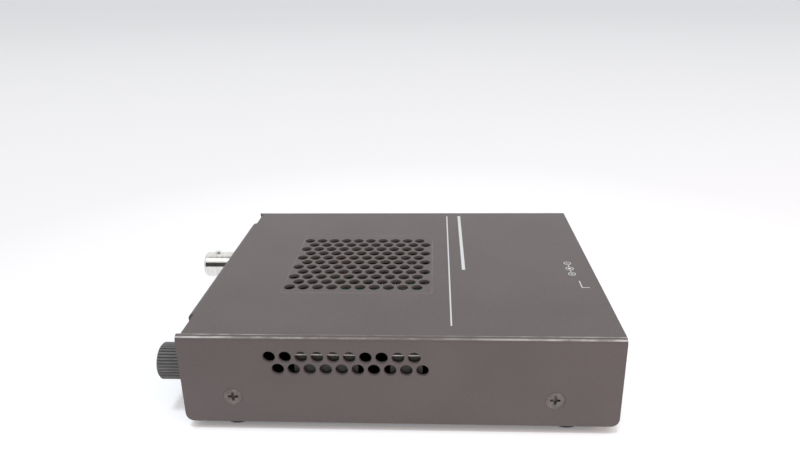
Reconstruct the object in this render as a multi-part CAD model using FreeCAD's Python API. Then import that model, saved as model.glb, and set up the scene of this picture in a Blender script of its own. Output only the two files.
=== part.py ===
import FreeCAD, Part
import math
import os

# A desktop fibre media converter: a folded steel case on rubber feet, with a slide-in converter
# module held by one thumbscrew. Millimetres. The front (coaxial jack, fibre ports, thumbscrew)
# faces -Y, the power inlet faces +Y, +Z is up. The origin is on the desk, under the case's centre.

Vector = FreeCAD.Vector
ALONG_X = Vector(1, 0, 0)
ALONG_Y = Vector(0, 1, 0)
ALONG_Z = Vector(0, 0, 1)

# ---- case ----
CASE_LENGTH = 124.0
CASE_WIDTH = 102.0
COVER_HEIGHT = 28.0
COVER_SHEET = 1.2
COVER_BEND = 0.4
COVER_CORNER = 2.5
LIP_HALF_WIDTH = 38.0
LIP_HEIGHT = 4.0
LIP_PROUD = 0.5
LIP_RELIEF = 0.2
FOOT_HEIGHT = 3.2
TRAY_RECESS = 0.4
TRAY_SHEET = 1.0
TRAY_BEND = 0.4
TRAY_GAP = 0.2
TRAY_WALL_HEIGHT = 12.0
TRAY_LIP_HEIGHT = 2.5
UPRIGHT_RISE = 0.2
REAR_RECESS = 0.6
REAR_TOP_GAP = 0.3
CORNER_GAP = 0.6

# ---- perforations ----
VENT_PITCH = 4.5
VENT_HOLE = 3.5
VENT_SIDES = 12
VENT_ROWS = 11
VENT_COLUMNS = 10
VENT_START = 26.0
SIDE_VENT_ROWS = 2
SIDE_VENT_DROP = 6.4

# ---- cover screws, M3 flat head ----
SCREW_FRONT_INSET = 14.5
SCREW_REAR_INSET = 18.3
SCREW_HEIGHT = 8.3
SCREW_THREAD = 3.0
SCREW_HEAD = 5.4
SCREW_LENGTH = 5.2
COUNTERSINK = 5.9
RECESS_WIDTH = 0.8
RECESS_DEPTH = 1.1
INSERT_DEPTH = 1.6
INSERT_WALL = 1.2
THREAD_GAP = 0.08

# ---- feet ----
FOOT_TOP = 9.5
FOOT_INSET_X = 7.2
FOOT_INSET_Y = 14.0
FOOT_EDGE = 0.8

# ---- card guides ----
GUIDE_REACH = 3.6
GUIDE_HEIGHT = 6.0
GUIDE_GROOVE = 1.5
GUIDE_LENGTH = 74.0
GUIDE_FRONT = 20.0
GUIDE_PEG = 2.8
GUIDE_PEG_INSET = 10.0
GUIDE_LEAD_IN = 2.0
PEG_GAP = 0.1

# ---- module: plate and board ----
BOARD_THICK = 1.6
BOARD_RISE = 4.0
BOARD_SIDE_GAP = 0.3
BOARD_GROOVE_GAP = 0.15
BOARD_FRONT_GAP = 0.5
MODULE_BOARD_LENGTH = 88.0
PLATE_SHEET = 1.2
PLATE_RECESS = 0.2
PLATE_GAP = 0.3
PLATE_SIDE_GAP = 0.9
PLATE_BEND = 0.4
PLATE_TAB_REACH = 11.0
PLATE_TAB_WIDTH = 8.0
PLATE_TAB_END = 3.0
BOARD_SCREW_THREAD = 2.0
BOARD_SCREW_HEAD = 4.2
BOARD_SCREW_HEAD_HEIGHT = 1.4
BOARD_SCREW_LENGTH = 2.6
BOARD_SCREW_GAP = 0.2
BOARD_CORNER = 1.5
SEAT_GAP = 0.1

# ---- thumbscrew ----
THUMB_INSET = 8.6
THUMB_HEAD = 10.9
THUMB_HEAD_LENGTH = 8.7
THUMB_FRONT_GAP = 0.3
THUMB_TEETH = 36
THUMB_TOOTH_DEPTH = 0.35
THUMB_CHAMFER = 0.6
THUMB_COLLAR = 8.6
THUMB_COLLAR_LENGTH = 0.8
THUMB_NECK = 2.5
THUMB_POINT = 0.5
THUMB_THREAD = 3.0
THUMB_REACH = 8.0
THUMB_RUNNING_GAP = 0.1
INSERT_FLANGE = 6.3
INSERT_SHANK = 5.0
EAR_REACH = 12.0
EAR_COAX_GAP = 1.1
EAR_BOTTOM = 7.2
EAR_DEPTH = 7.0

# ---- coaxial jack ----
COAX_LED_GAP = 3.3
COAX_PROUD = 17.3
COAX_BARREL = 9.65
COAX_BORE = 8.1
COAX_BORE_DEPTH = 8.5
COAX_THREAD = 12.5
COAX_THREAD_LENGTH = 4.6
COAX_LUG = 2.0
COAX_LUG_SPAN = 11.1
COAX_LUG_SETBACK = 4.5
COAX_CHAMFER = 0.5
COAX_INSULATOR = 4.8
COAX_INSULATOR_SETBACK = 1.0
COAX_CONTACT = 2.0
COAX_CONTACT_BORE = 1.0
COAX_NUT = 14.3
COAX_NUT_THICK = 2.2
COAX_WASHER = 16.0
COAX_WASHER_THICK = 0.6
COAX_BLOCK_WIDTH = 14.0
COAX_BLOCK_LENGTH = 11.0
COAX_BLOCK_HEIGHT = 15.0
COAX_BLOCK_EDGE = 1.0
COAX_HOLE_GAP = 0.1
COAX_TAIL = 9.8
COAX_CONTACT_SETBACK = 0.4
COAX_CONTACT_DEPTH = 5.0
COAX_LUG_ROOT = 0.4
COAX_NUT_EDGE = 0.9
COAX_WASHER_TEETH = 12
COAX_WASHER_NOTCH = 1.2
COAX_WASHER_NOTCH_DEPTH = 0.7

# ---- fibre transceiver, duplex SC ----
FIBRE_SWITCH_GAP = 1.8
FIBRE_PITCH = 12.7
FIBRE_WIDTH = 25.4
FIBRE_HEIGHT = 11.5
FIBRE_LENGTH = 38.0
FIBRE_PROUD = 1.2
FIBRE_SOCKET_WIDTH = 9.2
FIBRE_SOCKET_HEIGHT = 7.6
FIBRE_SOCKET_DEPTH = 13.0
FIBRE_SOCKET_RISE = 6.0
FIBRE_KEY_WIDTH = 2.6
FIBRE_KEY_HEIGHT = 1.0
FIBRE_SLEEVE = 3.2
FIBRE_SLEEVE_BORE = 2.5
FIBRE_SLEEVE_LENGTH = 6.8
FIBRE_CUT_GAP = 0.2

# ---- status lights ----
LED_COUNT = 4
LED_FIBRE_GAP = 3.3
LED_PITCH = 3.8
LED_DIAMETER = 2.9
LED_PROUD = 0.5
LED_RISE = 6.0
LED_HOLE_GAP = 0.15
LED_HOLDER_DEPTH = 5.0
LED_HOLDER_HEIGHT = 8.6
LED_TAIL = 3.0

# ---- termination switch ----
SWITCH_THUMB_GAP = 0.45
SWITCH_WIDTH = 8.6
SWITCH_DEPTH = 5.0
SWITCH_HEIGHT = 5.6
SWITCH_WALL = 0.9
SWITCH_RISE = 2.8
LEVER_WIDTH = 2.2
LEVER_HEIGHT = 2.0
LEVER_PROUD = 2.0
LEVER_TRAVEL = 2.0
LEVER_SHOE = 4.0
LEVER_SHOE_DEPTH = 2.0
LEVER_GAP = 0.2

# ---- power connector between module and case ----
PIN_COUNT = 6
PIN_PITCH = 2.54
PIN_SIZE = 0.64
PIN_REACH = 7.0
PIN_GAP = 0.2
PIN_RISE = 2.6
CONNECTOR_HEIGHT = 5.0
CONNECTOR_END = 1.55
SOCKET_DEPTH = 8.5
HEADER_DEPTH = 4.4
MATE_GAP = 0.4

# ---- power board ----
POWER_BOARD_WIDTH = 68.0
POWER_BOARD_GAP = 2.0
POWER_BOARD_REAR_GAP = 0.6
POWER_SCREW_INSET = 3.5
POWER_SCREW_HEAD = 5.4
POWER_SCREW_HEAD_HEIGHT = 1.8
POWER_SCREW_LENGTH = 4.0
STANDOFF = 5.5
JACK_X = 16.0
JACK_WIDTH = 9.0
JACK_LENGTH = 14.2
JACK_HEIGHT = 11.0
JACK_AXIS_RISE = 6.5
JACK_COLLAR = 8.0
JACK_COLLAR_PROUD = 0.5
JACK_BORE = 6.3
JACK_BORE_DEPTH = 10.0
JACK_PIN = 2.0
JACK_PIN_SETBACK = 1.0
JACK_HOLE_GAP = 0.2
FUSE_JACK_SPACING = 13.0
FUSE_REAR_INSET = 11.8
FUSE_LENGTH = 20.0
FUSE_DIAMETER = 5.0
FUSE_CAP = 5.0
FUSE_RISE = 4.2
FUSE_CAP_SIZE = 5.2
CLIP_SHEET = 0.4
CLIP_WIDTH = 4.0
CHOKE_FUSE_SPACING = 12.5
CHOKE_REAR_INSET = 10.8
CHOKE_OUTSIDE = 14.0
CHOKE_INSIDE = 6.0
CHOKE_HEIGHT = 7.0
CHOKE_EDGE = 1.0
RESERVOIR_CHOKE_SPACING = 15.5
RESERVOIR_REAR_INSET = 11.8
RESERVOIR_DIAMETER = 10.0
RESERVOIR_HEIGHT = 15.5
DIODE_JACK_SPACING = 10.5
DIODE_REAR_INSET = 17.8
DIODE_DIAMETER = 5.0
DIODE_LENGTH = 8.6
DIODE_LEAD = 1.0
DIODE_SPAN = 14.0

# ---- boxed parts on the boards: node, x, distance behind the board's front edge, width, depth, height ----
LINE_DRIVER = ("line_driver_chip", -29.5, 50.3, 3.9, 9.9, 1.8)
ENCODER = ("encoder_chip", -8.0, 52.1, 16.6, 16.6, 4.4)
TRANSFORMER = ("isolation_transformer", -14.5, 24.1, 12.6, 19.6, 6.4)
SUPPLY = ("isolated_supply", 24.0, 56.1, 20.0, 32.0, 10.0)
OSCILLATOR = ("clock_oscillator", -14.0, 72.1, 12.8, 12.8, 5.2)
TANTALUM = ("tantalum_capacitor", -23.6, 24.3, 2.8, 3.8, 1.9)
REGULATOR = ("voltage_regulator", -19.0, 6.5, 10.0, 9.0, 4.4)
SMALL_BEVEL = 0.3
LARGE_BEVEL = 0.6

# ---- capacitors on the module's board: node, x, distance behind the board's front edge ----
CANS = (("filter_capacitor_1", -32.4, 63.1), ("filter_capacitor_2", -24.4, 63.1),
        ("filter_capacitor_3", -32.4, 72.6))
CAN_DIAMETER = 6.3
CAN_HEIGHT = 7.7
CAN_EDGE = 0.4
SURGE_X = -34.2
SURGE_BEHIND = 34.6
SURGE_DIAMETER = 3.4
SURGE_HEIGHT = 7.2


# ---- levels and faces that follow from the sizes above ----
HALF_WIDTH = CASE_WIDTH / 2
FRONT = -CASE_LENGTH / 2
REAR = CASE_LENGTH / 2
COVER_EDGE = FOOT_HEIGHT - TRAY_RECESS
COVER_TOP = COVER_EDGE + COVER_HEIGHT
COVER_INSIDE = HALF_WIDTH - COVER_SHEET
CEILING = COVER_TOP - COVER_SHEET
BEND_END = HALF_WIDTH - COVER_SHEET - COVER_BEND
FRONT_AXIS = COVER_EDGE + COVER_HEIGHT / 2
TRAY_HALF = COVER_INSIDE - TRAY_GAP
TRAY_INSIDE = TRAY_HALF - TRAY_SHEET
TRAY_FLOOR = FOOT_HEIGHT + TRAY_SHEET
TRAY_WALL_TOP = FOOT_HEIGHT + TRAY_WALL_HEIGHT
REAR_WALL = REAR - REAR_RECESS
BOARD_BOTTOM = FOOT_HEIGHT + BOARD_RISE
BOARD_TOP = BOARD_BOTTOM + BOARD_THICK
PLATE_FRONT = FRONT + PLATE_RECESS
PLATE_BACK = PLATE_FRONT + PLATE_SHEET
PLATE_BOTTOM = FOOT_HEIGHT + TRAY_LIP_HEIGHT + PLATE_GAP
PLATE_TOP = COVER_TOP - LIP_HEIGHT - PLATE_GAP
EAR_FRONT = PLATE_BACK + SEAT_GAP
EAR_BACK = EAR_FRONT + TRAY_SHEET
EAR_Z = FOOT_HEIGHT + EAR_BOTTOM
GUIDE_FACE = TRAY_INSIDE - GUIDE_REACH
BOARD_EDGE = GUIDE_FACE + GUIDE_GROOVE - BOARD_SIDE_GAP
BOARD_FRONT = PLATE_BACK + BOARD_FRONT_GAP
BOARD_REAR = BOARD_FRONT + MODULE_BOARD_LENGTH
POWER_BOARD_FRONT = BOARD_REAR + POWER_BOARD_GAP
POWER_BOARD_REAR = REAR_WALL - TRAY_SHEET - POWER_BOARD_REAR_GAP
SCREW_Z = COVER_EDGE + SCREW_HEIGHT
COVER_SCREW_Y = (FRONT + SCREW_FRONT_INSET, REAR - SCREW_REAR_INSET)
VENT_ROW_STEP = VENT_PITCH * math.sqrt(3) / 2
THUMB_X = TRAY_HALF - THUMB_INSET
SWITCH_X = THUMB_X - (THUMB_HEAD + SWITCH_WIDTH) / 2 - SWITCH_THUMB_GAP
FIBRE_X = SWITCH_X - (SWITCH_WIDTH + FIBRE_WIDTH) / 2 - FIBRE_SWITCH_GAP
LED_X = FIBRE_X - (FIBRE_WIDTH + LED_COUNT * LED_PITCH) / 2 - LED_FIBRE_GAP
COAX_X = LED_X - (LED_COUNT * LED_PITCH + COAX_BLOCK_WIDTH) / 2 - COAX_LED_GAP
PLATE_TAB_X = (LED_X, FIBRE_X + (FIBRE_WIDTH + BOARD_SCREW_HEAD) / 2 + BOARD_SCREW_GAP)
FUSE_X = JACK_X - FUSE_JACK_SPACING
FUSE_Y = POWER_BOARD_REAR - FUSE_REAR_INSET
CHOKE_X = FUSE_X - CHOKE_FUSE_SPACING
CHOKE_Y = POWER_BOARD_REAR - CHOKE_REAR_INSET
RESERVOIR_X = CHOKE_X - RESERVOIR_CHOKE_SPACING
RESERVOIR_Y = POWER_BOARD_REAR - RESERVOIR_REAR_INSET
DIODE_X = JACK_X + DIODE_JACK_SPACING
DIODE_Y = POWER_BOARD_REAR - DIODE_REAR_INSET
CONNECTOR_HALF = PIN_COUNT * PIN_PITCH / 2 + CONNECTOR_END / 2


# ---- ways of making a shape ----
def block(x, y, z):
    """A box between the low and high value on each axis."""
    size = (x[1] - x[0], y[1] - y[0], z[1] - z[0])
    return Part.makeBox(*size, Vector(x[0], y[0], z[0]))


def centred(x, y, z_low, width, depth, height):
    """A box centred on x and y that stands on z_low."""
    return block((x - width / 2, x + width / 2), (y - depth / 2, y + depth / 2), (z_low, z_low + height))


def rod(diameter, start, direction, length):
    return Part.makeCylinder(diameter / 2, length, start, direction)


def extruded(points, direction):
    """A prism from a closed outline of straight edges."""
    return Part.Face(Part.makePolygon(points + points[:1])).extrude(direction)


def turned(outline, centre, axis):
    """A solid turned about an axis: each outline point is a radius and a distance along the axis."""
    side = ALONG_Z if abs(axis.z) < 0.5 else ALONG_X
    points = [centre + side * radius + axis * along for radius, along in outline]
    return Part.Face(Part.makePolygon(points + points[:1])).revolve(centre, axis, 360)


def hexagon(centre, across_flats, first, second):
    """Corners of a hexagon in the plane of the two directions."""
    radius = across_flats / math.sqrt(3)
    angles = [math.radians(60 * corner + 30) for corner in range(6)]
    return [centre + first * radius * math.cos(angle) + second * radius * math.sin(angle) for angle in angles]


def bent_sheet(corners, sheet, inner_radius, place, direction):
    """A sheet folded at right angles: corners run along its outer face, every fold the same way."""
    points = [Vector(u, v, 0) for u, v in corners]
    steps = [(b - a).normalize() for a, b in zip(points, points[1:])]
    outer = []
    inner = []
    outer_start = points[0]
    inner_start = points[0] + steps[1] * sheet
    for corner, before, after in zip(points[1:], steps, steps[1:]):
        centre = corner + (after - before) * (sheet + inner_radius)
        middle = (before - after) / math.sqrt(2)
        for radius, edges, start in ((sheet + inner_radius, outer, outer_start),
                                     (inner_radius, inner, inner_start)):
            first = centre - after * radius
            last = centre + before * radius
            edges.append(Part.LineSegment(place(start), place(first)))
            edges.append(Part.Arc(place(first), place(centre + middle * radius), place(last)))
        outer_start = centre + before * (sheet + inner_radius)
        inner_start = centre + before * inner_radius
    outer_end = points[-1]
    inner_end = points[-1] - steps[-2] * sheet
    edges = outer + inner
    edges.append(Part.LineSegment(place(outer_start), place(outer_end)))
    edges.append(Part.LineSegment(place(inner_start), place(inner_end)))
    edges.append(Part.LineSegment(place(points[0]), place(points[0] + steps[1] * sheet)))
    edges.append(Part.LineSegment(place(outer_end), place(inner_end)))
    wire = Part.Wire(Part.__sortEdges__([edge.toShape() for edge in edges]))
    return Part.Face(wire).extrude(direction)


def joined(shapes):
    return shapes[0].fuse(shapes[1:]).removeSplitter()


def rounded(shape, radius, chosen):
    """Fillets the edges whose middle passes the test."""
    return shape.makeFillet(radius, [edge for edge in shape.Edges if chosen(edge.CenterOfMass)])


def mirrored(shape):
    return shape.mirror(Vector(0, 0, 0), ALONG_X)


def both_sides(shape):
    return [shape, mirrored(shape)]


def save(name, shapes):
    shape = shapes if isinstance(shapes, Part.Shape) else Part.makeCompound(shapes)
    shape.exportStep(f"parts/{name}.step")


# ---- folded steel case ----
def vent_columns(row):
    """Y of each hole in one row: odd rows sit half a pitch further back."""
    shift = VENT_PITCH / 2 if row % 2 else 0
    return [FRONT + VENT_START + shift + column * VENT_PITCH for column in range(VENT_COLUMNS)]


def vent_hole(centre, across, up):
    """One punched hole, drawn with flat sides because there are so many: its flats touch the circle."""
    radius = VENT_HOLE / 2 / math.cos(math.pi / VENT_SIDES)
    axis = across.cross(up)
    points = []
    for side in range(VENT_SIDES):
        angle = 2 * math.pi * side / VENT_SIDES
        points.append(centre - axis + across * radius * math.cos(angle) + up * radius * math.sin(angle))
    return extruded(points, axis * (COVER_SHEET + 2))


def top_vent_holes():
    holes = []
    for row in range(VENT_ROWS):
        x = (row - (VENT_ROWS - 1) / 2) * VENT_ROW_STEP
        holes += [vent_hole(Vector(x, y, CEILING), ALONG_X, ALONG_Y) for y in vent_columns(row)]
    return holes


def side_vent_holes():
    holes = []
    for row in range(SIDE_VENT_ROWS):
        z = COVER_TOP - SIDE_VENT_DROP - row * VENT_ROW_STEP
        holes += [vent_hole(Vector(COVER_INSIDE, y, z), ALONG_Y, ALONG_Z) for y in vent_columns(row)]
    return holes


def countersink_depth(width):
    """Depth at which a right-angled countersink has narrowed to the thread."""
    return (width - SCREW_THREAD) / 2


def cover_screw_hole(y):
    deep = countersink_depth(COUNTERSINK)
    thread = SCREW_THREAD / 2
    hole = [(0, 0), (COUNTERSINK / 2, 0), (thread, -deep), (thread, -deep - 2), (0, -deep - 2)]
    clearance = rod(SCREW_THREAD + 2 * PEG_GAP, Vector(COVER_INSIDE - 1, y, SCREW_Z), ALONG_X, COVER_SHEET)
    return turned(hole, Vector(HALF_WIDTH, y, SCREW_Z), ALONG_X).fuse(clearance)


def make_top_cover():
    corners = [(-HALF_WIDTH, COVER_EDGE), (-HALF_WIDTH, COVER_TOP),
               (HALF_WIDTH, COVER_TOP), (HALF_WIDTH, COVER_EDGE)]
    shell = bent_sheet(corners, COVER_SHEET, COVER_BEND, lambda p: Vector(p.x, FRONT, p.y),
                       ALONG_Y * CASE_LENGTH)
    shell = rounded(shell, COVER_CORNER, lambda p: p.z < COVER_EDGE + 0.01 and abs(p.y) > REAR - 0.01)
    lip_front = FRONT - LIP_PROUD
    relief = lip_front + COVER_SHEET + COVER_BEND + LIP_RELIEF
    shell = shell.cut(block((-BEND_END, BEND_END), (FRONT - 1, relief), (CEILING - 1, COVER_TOP + 1)))
    lip_corners = [(relief + COVER_SHEET, COVER_TOP), (lip_front, COVER_TOP),
                   (lip_front, COVER_TOP - LIP_HEIGHT)]
    lip = bent_sheet(lip_corners, COVER_SHEET, COVER_BEND, lambda p: Vector(-LIP_HALF_WIDTH, p.x, p.y),
                     ALONG_X * 2 * LIP_HALF_WIDTH)
    shell = joined([shell, lip])
    sides = side_vent_holes() + [cover_screw_hole(y) for y in COVER_SCREW_Y]
    return shell.cut(top_vent_holes() + sides + [mirrored(hole) for hole in sides])


def upright(y_low, y_high):
    """A tab of the tray's side wall that stands up behind the side vents and steadies the cover."""
    top = COVER_TOP - SIDE_VENT_DROP + UPRIGHT_RISE
    return block((TRAY_INSIDE, TRAY_HALF), (y_low, y_high), (TRAY_WALL_TOP - 1, top))


def front_ear(reach):
    """The tray's side wall rises at the front and turns inwards behind the module's plate."""
    corners = [(TRAY_HALF, EAR_FRONT + EAR_DEPTH), (TRAY_HALF, EAR_FRONT), (TRAY_HALF - reach, EAR_FRONT)]
    top = CEILING - REAR_TOP_GAP
    return bent_sheet(corners, TRAY_SHEET, TRAY_BEND, lambda p: Vector(p.x, p.y, EAR_Z),
                      ALONG_Z * (top - EAR_Z))


def guide_peg_positions():
    start = FRONT + GUIDE_FRONT
    return [start + GUIDE_PEG_INSET, start + GUIDE_LENGTH - GUIDE_PEG_INSET]


def make_base_tray():
    bend = TRAY_SHEET + TRAY_BEND
    wall_front = EAR_FRONT + EAR_DEPTH - 1
    wall_rear = REAR_WALL - bend - CORNER_GAP
    corners = [(-TRAY_HALF, TRAY_WALL_TOP), (-TRAY_HALF, FOOT_HEIGHT),
               (TRAY_HALF, FOOT_HEIGHT), (TRAY_HALF, TRAY_WALL_TOP)]
    channel = bent_sheet(corners, TRAY_SHEET, TRAY_BEND, lambda p: Vector(p.x, wall_front, p.y),
                         ALONG_Y * (wall_rear - wall_front))
    half_rear = TRAY_INSIDE - TRAY_BEND - CORNER_GAP
    rear_top = CEILING - REAR_TOP_GAP
    rear_corners = [(0, FOOT_HEIGHT), (REAR_WALL, FOOT_HEIGHT), (REAR_WALL, rear_top)]
    rear = bent_sheet(rear_corners, TRAY_SHEET, TRAY_BEND, lambda p: Vector(-half_rear, p.x, p.y),
                      ALONG_X * 2 * half_rear)
    lip_corners = [(PLATE_FRONT, FOOT_HEIGHT + TRAY_LIP_HEIGHT), (PLATE_FRONT, FOOT_HEIGHT), (0, FOOT_HEIGHT)]
    front_lip = bent_sheet(lip_corners, TRAY_SHEET, TRAY_BEND, lambda p: Vector(-half_rear, p.x, p.y),
                           ALONG_X * 2 * half_rear)
    row = vent_columns(0)
    gap = VENT_PITCH / 2
    uprights = [upright(row[2] - gap, row[5] + gap), upright(row[8] - gap, row[9] + gap)]
    link = block((TRAY_INSIDE, TRAY_HALF), (EAR_FRONT + EAR_DEPTH - 2, EAR_FRONT + EAR_DEPTH),
                 (EAR_Z, CEILING - REAR_TOP_GAP))
    sides = uprights + [link]
    left_reach = TRAY_HALF + COAX_X - COAX_BLOCK_WIDTH / 2 - EAR_COAX_GAP
    ears = [front_ear(EAR_REACH), mirrored(front_ear(left_reach))]
    tray = joined([channel, rear, front_lip] + ears + sides + [mirrored(part) for part in sides])
    hole_start = Vector(TRAY_INSIDE - 1, 0, 0)
    holes = []
    for y in COVER_SCREW_Y:
        place = hole_start + Vector(0, y, SCREW_Z)
        holes += both_sides(rod(SCREW_THREAD + 2 * INSERT_WALL, place, ALONG_X, TRAY_SHEET + 2))
    for y in guide_peg_positions():
        place = hole_start + Vector(0, y, BOARD_BOTTOM + BOARD_THICK / 2)
        holes += both_sides(rod(GUIDE_PEG + 2 * PEG_GAP, place, ALONG_X, TRAY_SHEET + 2))
    holes.append(rod(INSERT_SHANK, Vector(THUMB_X, EAR_FRONT - 1, FRONT_AXIS), ALONG_Y, TRAY_SHEET + 2))
    jack_axis = Vector(JACK_X, REAR_WALL - TRAY_SHEET - 1, BOARD_TOP + JACK_AXIS_RISE)
    holes.append(rod(JACK_COLLAR + 2 * JACK_HOLE_GAP, jack_axis, ALONG_Y, TRAY_SHEET + 2))
    return tray.cut(holes)


def make_cover_screw(y):
    head = countersink_depth(SCREW_HEAD)
    tip = SCREW_THREAD / 2
    outline = [(0, 0), (SCREW_HEAD / 2, 0), (tip, -head), (tip, -SCREW_LENGTH + 0.4),
               (tip - 0.4, -SCREW_LENGTH), (0, -SCREW_LENGTH)]
    sink = (COUNTERSINK - SCREW_HEAD) / 2
    centre = Vector(HALF_WIDTH - sink, y, SCREW_Z)
    screw = turned(outline, centre, ALONG_X)
    slot = (centre.x - RECESS_DEPTH, centre.x + 1)
    long = SCREW_HEAD * 0.27
    half = RECESS_WIDTH / 2
    upright_slot = block(slot, (y - half, y + half), (SCREW_Z - long, SCREW_Z + long))
    level_slot = block(slot, (y - long, y + long), (SCREW_Z - half, SCREW_Z + half))
    return screw.cut([upright_slot, level_slot])


def make_tray_insert(y):
    """A self-clinching nut: its shank fills the wall's hole and its body stands on the inside."""
    thread = SCREW_THREAD / 2 + THREAD_GAP
    shank = SCREW_THREAD / 2 + INSERT_WALL
    outline = [(thread, 0), (shank, 0), (shank, -TRAY_SHEET), (shank + 0.5, -TRAY_SHEET),
               (shank + 0.5, -TRAY_SHEET - INSERT_DEPTH), (thread, -TRAY_SHEET - INSERT_DEPTH)]
    return turned(outline, Vector(TRAY_HALF, y, SCREW_Z), ALONG_X)


def make_foot(x, y):
    radius = FOOT_TOP / 2
    outline = [(0, 0), (radius - FOOT_EDGE, 0), (radius - FOOT_EDGE / 4, FOOT_EDGE / 2),
               (radius, FOOT_EDGE * 1.5), (radius, FOOT_HEIGHT), (0, FOOT_HEIGHT)]
    return turned(outline, Vector(x, y, 0), ALONG_Z)


def make_card_guide():
    """A moulded channel that carries one long edge of the module's board."""
    middle = BOARD_BOTTOM + BOARD_THICK / 2
    start = FRONT + GUIDE_FRONT
    body = block((GUIDE_FACE, TRAY_INSIDE), (start, start + GUIDE_LENGTH),
                 (middle - GUIDE_HEIGHT / 2, middle + GUIDE_HEIGHT / 2))
    low = BOARD_BOTTOM - BOARD_GROOVE_GAP
    high = BOARD_TOP + BOARD_GROOVE_GAP
    groove = block((GUIDE_FACE - 1, GUIDE_FACE + GUIDE_GROOVE), (start - 1, start + GUIDE_LENGTH + 1),
                   (low, high))
    mouth = start + GUIDE_LEAD_IN
    flare = [Vector(GUIDE_FACE - 1, start - 1, low - 1), Vector(GUIDE_FACE - 1, start - 1, high + 1),
             Vector(GUIDE_FACE - 1, mouth, high), Vector(GUIDE_FACE - 1, mouth, low)]
    lead_in = extruded(flare, ALONG_X * (GUIDE_GROOVE + 1))
    guide = body.cut([groove, lead_in])
    pegs = [rod(GUIDE_PEG, Vector(TRAY_INSIDE - 0.5, y, middle), ALONG_X, TRAY_SHEET + 0.4)
            for y in guide_peg_positions()]
    return joined([guide] + pegs)


def make_thumbscrew_insert():
    thread = THUMB_THREAD / 2 + THREAD_GAP
    shank = INSERT_SHANK / 2
    flange = INSERT_FLANGE / 2
    back = TRAY_SHEET + INSERT_DEPTH
    outline = [(thread, 0), (shank, 0), (shank, TRAY_SHEET), (flange, TRAY_SHEET),
               (flange, back), (thread, back)]
    return turned(outline, Vector(THUMB_X, EAR_FRONT, FRONT_AXIS), ALONG_Y)


# ---- slide-in module ----
def board_screw_places():
    return [Vector(x, PLATE_BACK + PLATE_TAB_REACH - PLATE_TAB_END, BOARD_TOP) for x in PLATE_TAB_X]


def led_places():
    first = LED_X - (LED_COUNT - 1) / 2 * LED_PITCH
    return [Vector(first + i * LED_PITCH, PLATE_FRONT, BOARD_TOP + LED_RISE) for i in range(LED_COUNT)]


def make_faceplate():
    half = COVER_INSIDE - PLATE_SIDE_GAP
    plate = block((-half, half), (PLATE_FRONT, PLATE_BACK), (PLATE_BOTTOM, PLATE_TOP))
    tab_top = BOARD_BOTTOM
    tab_bottom = tab_top - PLATE_SHEET
    pieces = [plate]
    for x in PLATE_TAB_X:
        corners = [(PLATE_FRONT, tab_bottom + 4 * PLATE_SHEET), (PLATE_FRONT, tab_bottom),
                   (PLATE_BACK + PLATE_TAB_REACH, tab_bottom)]
        left = x - PLATE_TAB_WIDTH / 2
        pieces.append(bent_sheet(corners, PLATE_SHEET, PLATE_BEND, lambda p: Vector(left, p.x, p.y),
                                 ALONG_X * PLATE_TAB_WIDTH))
    plate = joined(pieces)
    through = PLATE_SHEET + 2
    start = PLATE_FRONT - 1
    span = (start, start + through)
    holes = [rod(COAX_THREAD + 2 * COAX_HOLE_GAP, Vector(COAX_X, start, FRONT_AXIS), ALONG_Y, through)]
    thumb_place = Vector(THUMB_X, start, FRONT_AXIS)
    holes.append(rod(THUMB_NECK + 2 * THUMB_RUNNING_GAP, thumb_place, ALONG_Y, through))
    for place in led_places():
        hole_place = Vector(place.x, start, place.z)
        holes.append(rod(LED_DIAMETER + 2 * LED_HOLE_GAP, hole_place, ALONG_Y, through))
    half_fibre = FIBRE_WIDTH / 2 + FIBRE_CUT_GAP
    holes.append(block((FIBRE_X - half_fibre, FIBRE_X + half_fibre), span,
                       (BOARD_TOP - FIBRE_CUT_GAP, BOARD_TOP + FIBRE_HEIGHT + FIBRE_CUT_GAP)))
    left, right = lever_window()
    middle = BOARD_TOP + SWITCH_RISE
    half_slot = LEVER_HEIGHT / 2 + LEVER_GAP
    holes.append(block((left, right), span, (middle - half_slot, middle + half_slot)))
    for place in board_screw_places():
        holes.append(rod(BOARD_SCREW_THREAD + 2 * THREAD_GAP, place - ALONG_Z * 4, ALONG_Z, 4))
    return plate.cut(holes)


def make_module_board():
    board = block((-BOARD_EDGE, BOARD_EDGE), (BOARD_FRONT, BOARD_REAR), (BOARD_BOTTOM, BOARD_TOP))
    corners = [edge for edge in board.Edges if edge.Length < BOARD_THICK + 0.01 and edge.CenterOfMass.y > 0]
    board = board.makeChamfer(BOARD_CORNER, corners)
    clearance = BOARD_SCREW_THREAD + 2 * BOARD_SCREW_GAP
    holes = [rod(clearance, place - ALONG_Z * 3, ALONG_Z, 4) for place in board_screw_places()]
    return board.cut(holes)


def make_pan_screw(place, thread, head, head_height, length):
    """A pan-head screw whose head's underside is at the given place."""
    radius = head / 2
    outline = [(0, head_height), (radius * 0.7, head_height), (radius, head_height * 0.45), (radius, 0),
               (thread / 2, 0), (thread / 2, -length), (0, -length)]
    screw = turned(outline, place, ALONG_Z)
    depth = place.z + head_height * 0.4
    half = RECESS_WIDTH / 2
    slots = [centred(place.x, place.y, depth, width, length, head_height)
             for width, length in ((radius, 2 * half), (2 * half, radius))]
    return screw.cut(slots)


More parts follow.
